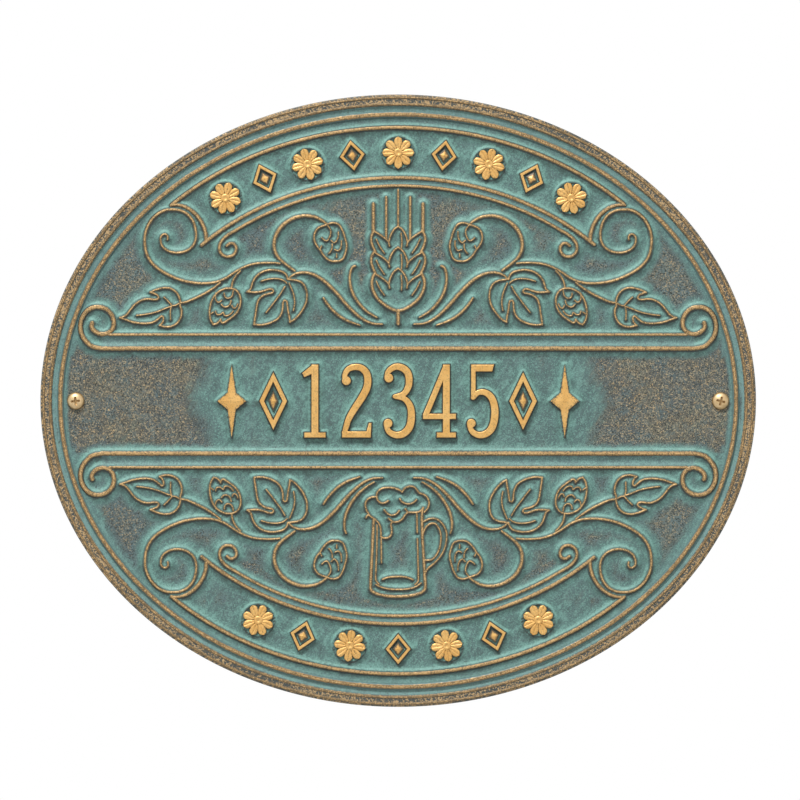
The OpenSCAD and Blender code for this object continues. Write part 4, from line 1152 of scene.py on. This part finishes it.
class Finish(Nodes):
    """A material, with short calls for the nodes behind its colour, roughness and bump."""

    def __init__(self, name, **constants):
        self.material = bpy.data.materials.new(name)
        self.material.use_nodes = True
        super().__init__(self.material.node_tree)
        self.shader = self.tree.nodes["Principled BSDF"]
        self.place = self.add("TexCoord")["Object"]
        for key, value in constants.items():
            self.shader.inputs[key.title()].default_value = value

    def grain(self, size, detail=2.0, rough=0.5, warp=0.0):
        """Cloudy pattern from 0 to 1, with features of a size in mm."""
        return self.add("TexNoise", {"Vector": self.place, "Scale": 1 / (size * MM), "Detail": detail,
            "Roughness": rough, "Distortion": warp})["Fac"]

    def specks(self, size):
        """Cells of a size in mm, each with its own value from 0 to 1."""
        cells = self.add("TexVoronoi", {"Vector": self.place, "Scale": 1 / (size * MM)})["Color"]
        return self.add("SeparateColor", {0: cells})[0]

    def streaks(self, size, turn):
        """Brushed pattern four times as long as wide, turned by an angle in degrees."""
        place = self.add("Mapping", {"Vector": self.place, "Rotation": (0, math.radians(turn), 0),
            "Scale": (1, 1, 4)}, vector_type="TEXTURE")[0]
        return self.add("TexNoise", {"Vector": place, "Scale": 1 / (size * MM), "Detail": 3.0})["Fac"]

    def layer(self, name):
        return self.add("Attribute", attribute_name=name)["Fac"]

    def fade(self, value, low, high, start=0.0, end=1.0):
        """Goes softly from start to end while a value goes from low to high."""
        return self.add("MapRange", {0: value, 1: low, 2: high, 3: start, 4: end},
            interpolation_type="SMOOTHSTEP")[0]

    def sway(self, pattern, amount):
        """A pattern's ups and downs about nought, made larger or smaller."""
        return self.times(self.plus(pattern, -0.5), amount)

    def coats(self, colour, *coats):
        """A colour under coats, each given as how much there is of it, and its colour."""
        for share, coat in coats:
            colour = self.add("Mix", {0: share, 6: colour, 7: coat}, data_type="RGBA")[2]
        return colour

    def height(self, low, high):
        """Goes from 0 to 1 between two heights above the wall, in mm."""
        return self.fade(self.axes(self.place)[1], -low * MM, -high * MM)

    def bump(self, *layers):
        """Bumps one over another, each given as a pattern and its depth in mm."""
        inputs = {}
        for pattern, depth in layers:
            inputs |= {"Height": pattern, "Distance": depth * MM}
            inputs["Normal"] = self.add("Bump", inputs)[0]
        return inputs["Normal"]

    def apply(self, **sockets):
        for key, value in sockets.items():
            self.tree.links.new(value, self.shader.inputs[key.replace("_", " ").title()])
        return self.material


def field_finish():
    """Slate-brown bronze with gold grain, washed with verdigris, with painted light palest on the upper
    side of the relief and painted shade below it.
    """
    f = Finish("verdigris_wash")
    broad, cloud, brush = f.grain(15, 3, 0.6), f.grain(4.5, 4, 0.65, 0.4), f.grain(1.5, 3, 0.7, 0.8)
    streaks, dots, pits = f.streaks(1.6, 35), f.specks(0.5), f.specks(0.42)
    ragged = f.sway(brush, 1.6)
    lines, marks = f.plus(f.layer("lines"), ragged), f.plus(f.layer("marks"), ragged)
    clear = f.math("MINIMUM", lines, marks)
    ledge, wash, cove = f.layer("ledge"), f.layer("wash"), f.layer("cove")

    # Bare bronze, with more blue in it above and below the panel
    outside = f.math("ABSOLUTE", f.axes(f.place)[2], 0.0)
    outside = f.fade(outside, RAIL_Y * MM, RIBBON_Y * MM)
    blue = f.plus(f.fade(cloud, 0.55, 0.35, 0, 0.4), f.times(outside, 0.25))
    gold = f.plus(dots, f.sway(cloud, 0.4), f.times(wash, -0.6), f.times(outside, -0.05))
    bare = f.coats(SLATE,
        (f.fade(broad, 0.4, 0.6), BROWN_SLATE),
        (blue, BLUE_TEAL),
        (f.fade(gold, 0.5, 1), OCHRE),
        (f.fade(gold, 0.97, 1, 0, 0.6), PALE_BRONZE))

    # Verdigris, with a painted highlight: a pale halo on the upper side of the relief and of the marks,
    # where the light falls
    beside = f.times(f.fade(lines, 2.6, 1), f.plus(0.8, f.times(cove, -0.45)))
    painted_light_halo = f.math("MAXIMUM", f.fade(marks, 2.2, 1.4), beside)
    painted_light_halo = f.times(painted_light_halo, f.fade(f.plus(ledge, f.sway(cloud, 2)), -0.8, 0.8))
    pale = f.fade(f.plus(cloud, f.sway(streaks, 0.6)), 0.5, 0.36, 0, 0.45)
    # Painted light: the pale patches grow stronger on the upper side of the relief
    pale = f.times(pale, f.fade(ledge, -1, 0.3, 0.3, 1))
    teal = f.coats(GREY_TEAL,
        (f.fade(clear, 6, 1.5), TEAL),
        (f.fade(streaks, 0.4, 0.66, 0, 0.5), DEEP_TEAL),
        (f.times(cove, 0.7), BLUE_TEAL),
        # Painted light: the groove is painted paler
        (f.fade(cove, 1, 1.5, 0, 0.4), GROOVE_PAINTED_LIGHT_TEAL),
        (f.math("MAXIMUM", painted_light_halo, pale), PALE_TEAL),
        (f.fade(dots, 0.5, 1, 0, 0.6), PALE_TEAL))

    # Dirt in the pits; painted shade below the relief and in the corner at its foot, heaviest on its lower
    # side
    cover = f.fade(f.plus(wash, f.sway(broad, 0.8), f.sway(cloud, 0.7), f.sway(streaks, 0.8)), 0.05, 0.7)
    shade = f.times(f.fade(clear, 4.5, 1), f.fade(ledge, 0.5, -0.7))
    shade = f.times(shade, f.plus(0.4, f.times(cove, -0.34)))
    foot_shade = f.times(f.fade(clear, 1.1, 0.5), f.fade(ledge, 0.4, -0.4, 0, 0.9))
    foot_shade = f.math("MAXIMUM", f.times(f.fade(clear, 0.8, 0.3), 0.6), foot_shade)
    return f.apply(
        base_color=f.coats(bare,
            (cover, teal),
            (f.fade(cloud, 0.5, 0.72, 0, 0.3), DARK),
            # Painted shade: the coves a little darker
            (f.fade(cove, 0.4, 1, 0, 0.1), DARK),
            (f.times(shade, f.fade(cloud, 0.35, 0.65, 0.4, 1.5)), DARK),
            (f.times(f.fade(pits, 0.45, 0.05), f.fade(cover, 0, 1, 1, 0.35)), DARK),
            (f.times(foot_shade, f.plus(1, f.times(cove, -0.8))), DARK)),
        metallic=f.fade(cover, 0.2, 0.8, 0.35, 0.08),
        roughness=f.fade(brush, 0.3, 0.7, 0.48, 0.66),
        normal=f.bump((dots, 0.05), (streaks, 0.07), (brush, 0.11)))


def relief_finish(name, foot, spread, pitted=0.3):
    """Raised lines rubbed back to bronze along the crest, brown down the sides, with a foot of another
    colour. Spread widens the crest, and pitted is the share of the bronze that has dark pits."""
    f = Finish(name)
    across = f.layer("across")
    cloud, brush, grit, pits = f.grain(6, 3), f.grain(1.2, 3, 0.7), f.grain(0.7, 1), f.specks(0.45)
    rub = f.plus(across, f.sway(cloud, 0.4), f.sway(brush, 0.9), f.sway(grit, 0.7))
    crest = f.fade(rub, 0.7 + spread, 0.42 + spread)
    metal = f.coats(BRONZE,
        (f.fade(rub, 0.35, 0), PALE_BRONZE),
        (f.fade(pits, pitted, pitted / 2, 0, 0.8), BROWN))
    return f.apply(
        base_color=f.coats(foot, (f.fade(across, 0.9, 0.7), BROWN), (crest, metal)),
        metallic=f.fade(crest, 0, 1, 0.1, 0.45),
        roughness=f.fade(brush, 0.3, 0.7, 0.4, 0.58),
        normal=f.bump((grit, 0.07), (brush, 0.09)))


def rim_finish():
    """Speckled bronze and dark paint on the hammered band, dark paint at the back."""
    f = Finish("speckled_rim")
    blots, speck, broad = f.grain(1, 2, 0.6, 0.6), f.specks(0.45), f.grain(30, 2)
    gold = f.fade(f.plus(blots, f.sway(broad, 0.3), f.sway(speck, 0.3)), 0.47, 0.62)
    side = f.coats(SLATE, (f.fade(blots, 0.4, 0.6), BROWN))
    front = f.coats(RIM_DARK, (gold, RIM_BRONZE))
    return f.apply(
        base_color=f.coats(BLACK_PAINT,
            (f.fade(broad, 0.3, 0.7), GREY_PAINT),
            (f.height(0.2, 2.5), side),
            (f.height(RIM_TOP - 0.45, RIM_TOP - 0.1), front)),
        metallic=f.fade(gold, 0, 1, 0.1, 0.4),
        roughness=f.fade(speck, 0.3, 0.7, 0.45, 0.65),
        normal=f.bump((blots, 0.22), (speck, 0.08)))


def gold_finish(top):
    """Bright gold on the flat tops, brown down the sides and dark at the foot."""
    f = Finish(f"rubbed_gold_{round(top * 10)}")
    cloud, brush, grit = f.grain(6, 3), f.grain(1.4, 3, 0.7), f.grain(0.7, 1)
    level = f.height(FIELD_TOP + top * 0.3, FIELD_TOP + top * 0.95)
    crest = f.fade(f.plus(level, f.sway(brush, 0.4), f.sway(grit, 0.3)), 0.55, 0.88)
    metal = f.coats(GOLD, (f.fade(cloud, 0.3, 0.7), PALE_GOLD), (f.fade(grit, 0.5, 0.3, 0, 0.5), BRONZE))
    return f.apply(
        base_color=f.coats(DARK,
            (f.height(FIELD_TOP + top * 0.4, FIELD_TOP + top * 0.7), BROWN),
            (crest, metal)),
        metallic=f.fade(crest, 0, 1, 0.1, 0.4),
        roughness=f.fade(brush, 0.3, 0.7, 0.36, 0.52),
        normal=f.bump((grit, 0.05), (brush, 0.07)))


def back_finish():
    """Dark paint on the rough casting at the back."""
    f = Finish("back_paint")
    broad, cast, fine = f.grain(22, 4), f.grain(1.4, 3, 0.6), f.grain(0.4, 2)
    return f.apply(
        base_color=f.coats(BLACK_PAINT,
            (f.fade(broad, 0.3, 0.7), GREY_PAINT),
            (f.fade(cast, 0.62, 0.75, 0, 0.5), BROWN)),
        roughness=f.fade(cast, 0.3, 0.7, 0.55, 0.75),
        normal=f.bump((cast, 0.18), (fine, 0.05)))


def brass_finish():
    """Pale brass on the screw heads, darker brass below a height: round the foot of the head, deep in the
    cross and on the shank.
    """
    f = Finish("screw_brass", metallic=0.6)
    scratch, cloud = f.grain(0.7, 4, 0.7), f.grain(3, 3)
    metal = f.coats(BRASS, (f.fade(cloud, 0.3, 0.7, 0, 0.4), DULL_BRASS))
    return f.apply(
        base_color=f.coats(DEEP_BRASS,
            (f.fade(scratch, 0.4, 0.6), DULL_BRASS),
            (f.height(FIELD_TOP + 0.9, FIELD_TOP + 1.9), metal)),
        roughness=f.fade(scratch, 0.3, 0.7, 0.38, 0.52),
        normal=f.bump((scratch, 0.02)))


FIELD_FINISH = field_finish()
RELIEF_FINISH = relief_finish("rubbed_bronze", DARK, 0.06)
BAND_FINISH = relief_finish("rubbed_band", DARK, 0.3)
VINE_FINISH = relief_finish("rubbed_vine", DARK, 0.2)
BEAD_FINISH = relief_finish("bead_bronze", BRONZE, 0, 0.75)
RIDGE_FINISH = relief_finish("rubbed_ridge", GREY_TEAL, 0.2, 0.55)
RIM_FINISH = rim_finish()
FIGURE_FINISH = gold_finish(FIGURE_RISE)
MARK_FINISH = gold_finish(MARK_RISE)
BACK_FINISH = back_finish()
BRASS_FINISH = brass_finish()

# Pieces

def add_piece(name, mesh, node, finish=None):
    """Stands a mesh up in the frame, in place of its node."""
    mesh.name = name
    mesh.transform(UPRIGHT)
    if finish:
        mesh.materials.clear()
        mesh.materials.append(finish)
    piece = put_in_scene(name, mesh)
    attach(piece, "root")
    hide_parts(node)


raised_line = raised_line_recipe()
line_section = section_curve("line_section", LINE_SECTION)
band_section = section_curve("band_section", BAND_SECTION)
bead_section = section_curve("bead_section", BEAD_SECTION)


def add_lines(node, strokes, finish, section=band_section, foot=FIELD_TOP, rise=LINE_RISE):
    mesh = raised_line.make(path_object(strokes), section=section, foot=foot, rise=rise,
        full_half_width=VEIN_W / 2, finish=finish)
    add_piece(node + "_lines", mesh, node)


# Plate and rim
levels = (-HALF_H, -RAIL_Y, RAIL_Y, HALF_H)
for name, low, high in zip(("field_low", "field_panel", "field_high"), levels, levels[1:]):
    add_piece(name, field_mesh(name, low, high), "field_plate", FIELD_FINISH)
add_piece("field_back", back_mesh(), "field_plate", BACK_FINISH)
add_piece("rim", rim_mesh(), "rim_band", RIM_FINISH)
for node, inset, share in (("outer_bead", OUTER_BEAD_IN + 0.2, 0.6), ("inner_bead", INNER_BEAD_IN, 0.5)):
    bead = [even(oval(inset), BEAD_W, True)]
    add_lines(node, bead, BEAD_FINISH, bead_section, RIM_TOP, BEAD_RISE * share)
add_lines("border_ridge", [even(oval(BORDER_IN), BORDER_W, True)], RIDGE_FINISH)

# Banners, arch lines, rails, vines, leaves, cones, ear and mug
for node, strokes in LINES.items():
    if node.endswith(("banner", "rail", "arch_line")):
        add_lines(node, strokes, BAND_FINISH)
    else:
        finish = VINE_FINISH if node.endswith("vine") else RELIEF_FINISH
        add_lines(node, strokes, finish, line_section)
for node, outline in PADS.items():
    add_piece(node + "_pad", pad_mesh(node, outline), node, FIELD_FINISH)

# Figures, lozenges and stars of the panel
for node, loops in FIGURES.items():
    add_piece(node + "_cast", footed_shape(node, loops, FIGURE_RISE), node, FIGURE_FINISH)


def lozenge_mesh(name, shapes, rise):
    """Flat frames, each with a facetted pip inside."""
    frames = footed_shape(name, [shape for outer, inner, _ in shapes for shape in (outer, inner)], rise)
    pips = facetted(name, [pip for _, _, pip in shapes], rise * 0.55, rise)
    return joined(name, [frames, pips])


sides = (-1, 1)
panel_shapes = [[in_row(shape, 3 * across) for shape in PANEL_LOZENGE] for across in sides]
add_piece("panel_lozenges_cast", lozenge_mesh("lozenges", panel_shapes, FIGURE_RISE), "panel_lozenges",
    FIGURE_FINISH)
stars = facetted("stars", [in_row(STAR, 4 * across) for across in sides], FIGURE_RISE * 0.72, FIGURE_RISE)
add_piece("panel_stars_cast", stars, "panel_stars", FIGURE_FINISH)

# Lozenges and rosettes of the banners
for node, places in LOZENGES.items():
    shapes = [[leaned(shape, place) for shape in BANNER_LOZENGE] for place in places]
    add_piece(node + "_cast", lozenge_mesh(node, shapes, MARK_RISE), node, MARK_FINISH)


def petal_mesh():
    """Domed petal with a groove down its middle, from the middle of the flower outwards."""
    across = [-1, -1, -0.82, -0.5, -0.2, 0, 0.2, 0.5, 0.82, 1, 1]
    dome = [0.62 + 0.3 * math.sqrt(1 - t * t) - 0.16 * math.exp(-((t / 0.16) ** 2)) for t in across]
    rise = [-SUNK, *(MARK_RISE * share for share in dome[1:-1]), -SUNK]
    rows = [[(x * t, y, FIELD_TOP + z) for t, z in zip(across, rise)] for x, y in smooth(PETAL_SIDE, 0.8)]
    return skin("petal", rows, capped=True, sharp=50)


def boss_mesh():
    """Button with a dimple in the middle of the flower."""
    profile = [(0, -SUNK), (2.3, -SUNK), (2.3, MARK_RISE * 0.72), (2.1, MARK_RISE * 0.9), (1.6, MARK_RISE),
        (1.1, MARK_RISE * 0.97), (0.7, MARK_RISE * 0.85), (0.3, MARK_RISE * 0.8), (0, MARK_RISE * 0.79)]
    return lathe("boss", [(r, FIELD_TOP + z) for r, z in profile], count=24)


rosette_row = rosette_recipe()
petal = put_in_scene("petal", petal_mesh())
boss = put_in_scene("boss", boss_mesh())
for node, places in ROSETTES.items():
    points = bpy.data.meshes.new("places")
    points.from_pydata([(*middle, 0) for middle, _ in places], [], [])
    points.attributes.new("lean", "FLOAT", "POINT").data.foreach_set("value", [lean for _, lean in places])
    mesh = rosette_row.make(put_in_scene("places", points), petal=petal, boss=boss, petals=PETALS,
        finish=MARK_FINISH)
    add_piece(node + "_cast", mesh, node)

# Bosses at the back, and screws
BOSS_R = 7
HOLE_R = 2.45
HEAD_R = half_size("left_screw")[0]
HEAD_H = top_of("left_screw") - FIELD_TOP
SCREW_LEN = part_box("left_screw")[1].y / MM + FIELD_TOP
SHOULDER_R = 2.1
NECK_R = 1.8
CORE_R = 1.47
NECK_PAST_WALL = 6
POINT_LEN = 5
THREAD_PITCH = 1.8
CROSS_W = 5.1
CROSS_SLOT = 1.1
CROSS_DEPTH = 1.7


def boss_ring(name, middle):
    """Boss round a screw hole, rounded into the floor of the recess."""
    hidden = RECESS + SKIN_T / 2
    profile = [(HOLE_R, hidden), (HOLE_R, 0.3), (HOLE_R + 0.3, 0), (BOSS_R - 0.5, 0), (BOSS_R - 0.15, 0.15),
        (BOSS_R, 0.5), (BOSS_R, RECESS - 1), (BOSS_R + 0.25, RECESS - 0.5), (BOSS_R + 0.9, RECESS - 0.12),
        (BOSS_R + 1.8, RECESS + 0.02), (BOSS_R + 1.8, hidden)]
    return lathe(name, profile, middle, 64, True)


def cross_cutter():
    """Two tapered blades that cut the cross."""
    blades = []
    for turn in (1, -1):
        rings = []
        for z, long, wide in ((HEAD_H - CROSS_DEPTH, 0.3, 0.38), (HEAD_H + 1, 0.62, 0.62)):
            x, y = CROSS_W * long, CROSS_SLOT * wide
            rings.append(at_height(slab(-x, -y, x, y)[:, ::turn], z))
        blades.append(skin("blade", rings, capped=True))
    return put_in_scene("cross_cutter", joined("cross_cutter", blades))


def head_mesh():
    """Round head with the cross cut into it."""
    angles = np.radians(np.arange(0, 91, 7.5))
    dome = [(HEAD_R * math.cos(a), 0.35 + (HEAD_H - 0.35) * math.sin(a)) for a in angles]
    profile = [(0, 0), (HEAD_R - 0.15, 0), (HEAD_R, 0.12), *dome[:-1], (0, HEAD_H)]
    head = put_in_scene("head", lathe("head", profile, count=64))
    cutter = cross_cutter()
    cut = head.modifiers.new("cross", "BOOLEAN")
    cut.object = cutter
    cut.solver = "EXACT"
    cut.use_self = True
    mesh = evaluated_mesh(head)
    bpy.data.objects.remove(cutter)
    return finished(mesh, 35)


def shank_mesh():
    """Shoulder, neck, core and point."""
    neck_end = FIELD_TOP + NECK_PAST_WALL
    profile = [(0, 0), (SHOULDER_R, 0), (SHOULDER_R, 0.2 - FIELD_TOP), (NECK_R, -FIELD_TOP),
        (NECK_R, -neck_end), (CORE_R, -neck_end - 0.8), (CORE_R, POINT_LEN - SCREW_LEN), (0, -SCREW_LEN)]
    return lathe("shank", profile)


def thread_mesh():
    length = SCREW_LEN - POINT_LEN - FIELD_TOP - NECK_PAST_WALL
    empty = put_in_scene("thread", bpy.data.meshes.new("thread"))
    mesh = thread_recipe().make(empty, core_radius=CORE_R - 0.1, thread_height=SHOULDER_R - CORE_R,
        pitch=THREAD_PITCH, turns=length / THREAD_PITCH, point_length=POINT_LEN - 1.2, tip_radius=0.3,
        finish=BRASS_FINISH)
    mesh.transform(Matrix.Translation((0, 0, POINT_LEN - SCREW_LEN)))
    return mesh


screw = joined("screw", [head_mesh(), shank_mesh(), thread_mesh()])
for side, turn in (("left", 6), ("right", -14)):
    low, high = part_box(side + "_screw")
    x = (low.x + high.x) / 2 / MM
    add_piece(side + "_boss", boss_ring(side + "_boss", (x, 0)), "field_plate", BACK_FINISH)
    mesh = screw.copy()
    mesh.transform(Matrix.Translation((x, 0, FIELD_TOP)) @ Matrix.Rotation(math.radians(turn), 4, "Z"))
    add_piece(side + "_screw_driven", mesh, side + "_screw", BRASS_FINISH)

for tool in (line_section, band_section, bead_section, petal, boss):
    bpy.data.objects.remove(tool)

# Studio: pale floor, white background, soft light from the upper left

PHOTO_PX = 800
PLAQUE_PX = 715.5
PLAQUE_MIDDLE_PX = (398.2, 401)
CAMERA_DISTANCE = 2.5
CAMERA_ELEVATION = math.radians(1)
SENSOR = 36
FLOOR_Z = -0.36
FLOOR_HALF = 0.7


def add_floor():
    f = Finish("pale_floor", roughness=0.9)
    f.apply(base_color=f.coats(colour(226, 226, 224), (f.grain(60, 3), colour(236, 236, 234))))
    glow = f.add("Emission", {"Color": (1, 1, 1, 1), "Strength": 1.0})[0]
    share = f.times(f.add("LightPath")["Is Camera Ray"], 0.6)
    both = f.add("MixShader", {0: share, 1: f.shader.outputs[0], 2: glow})[0]
    f.tree.links.new(both, f.tree.nodes["Material Output"].inputs["Surface"])
    mesh = bpy.data.meshes.new("floor")
    mesh.from_pydata(at_height(slab(-FLOOR_HALF, -FLOOR_HALF, FLOOR_HALF, FLOOR_HALF), FLOOR_Z), [],
        [(0, 1, 2, 3)])
    mesh.materials.append(f.material)
    put_in_scene("floor", mesh)


def set_world():
    """White to the eye and in reflections, softer as light."""
    world = bpy.data.worlds.new("studio")
    bpy.context.scene.world = world
    world.use_nodes = True
    world.node_tree.nodes.clear()
    n = Nodes(world.node_tree)
    path = n.add("LightPath")
    seen = n.math("MAXIMUM", path["Is Camera Ray"], path["Is Glossy Ray"])
    seen = n.math("MAXIMUM", seen, path["Is Transmission Ray"])
    soft = n.add("Background", {"Color": (0.96, 0.98, 1, 1), "Strength": 0.17})[0]
    white = n.add("Background", {"Color": (1, 1, 1, 1), "Strength": 1.0})[0]
    n.add("OutputWorld", {"Surface": n.add("MixShader", {0: seen, 1: soft, 2: white})[0]})


def add_lamp(name, place, size, power):
    light = bpy.data.lights.new(name, "AREA")
    light.shape = "DISK"
    light.size = size
    light.energy = power
    lamp = put_in_scene(name, light)
    lamp.location = place
    lamp.rotation_euler = (-Vector(place)).to_track_quat("-Z", "Y").to_euler()


def add_camera():
    """Puts the middle of the plaque where the photograph has it."""
    camera = put_in_scene("camera", bpy.data.cameras.new("camera"))
    pixel = 2 * HALF_W * MM / PLAQUE_PX
    camera.data.sensor_width = SENSOR
    camera.data.lens = SENSOR * CAMERA_DISTANCE / (PHOTO_PX * pixel)
    aim = Vector(((PHOTO_PX / 2 - PLAQUE_MIDDLE_PX[0]) * pixel, -FIELD_TOP * MM,
        (PLAQUE_MIDDLE_PX[1] - PHOTO_PX / 2) * pixel))
    back = Vector((0, -math.cos(CAMERA_ELEVATION), math.sin(CAMERA_ELEVATION)))
    camera.location = aim + back * CAMERA_DISTANCE
    camera.rotation_euler = (-back).to_track_quat("-Z", "Y").to_euler()
    bpy.context.scene.camera = camera


add_floor()
set_world()
add_lamp("key", (-0.8, -2, 3), 0.8, 170)
add_lamp("fill", (0.9, -1.9, 0.3), 1.2, 3)
add_camera()
bpy.context.scene.view_settings.view_transform = "Standard"
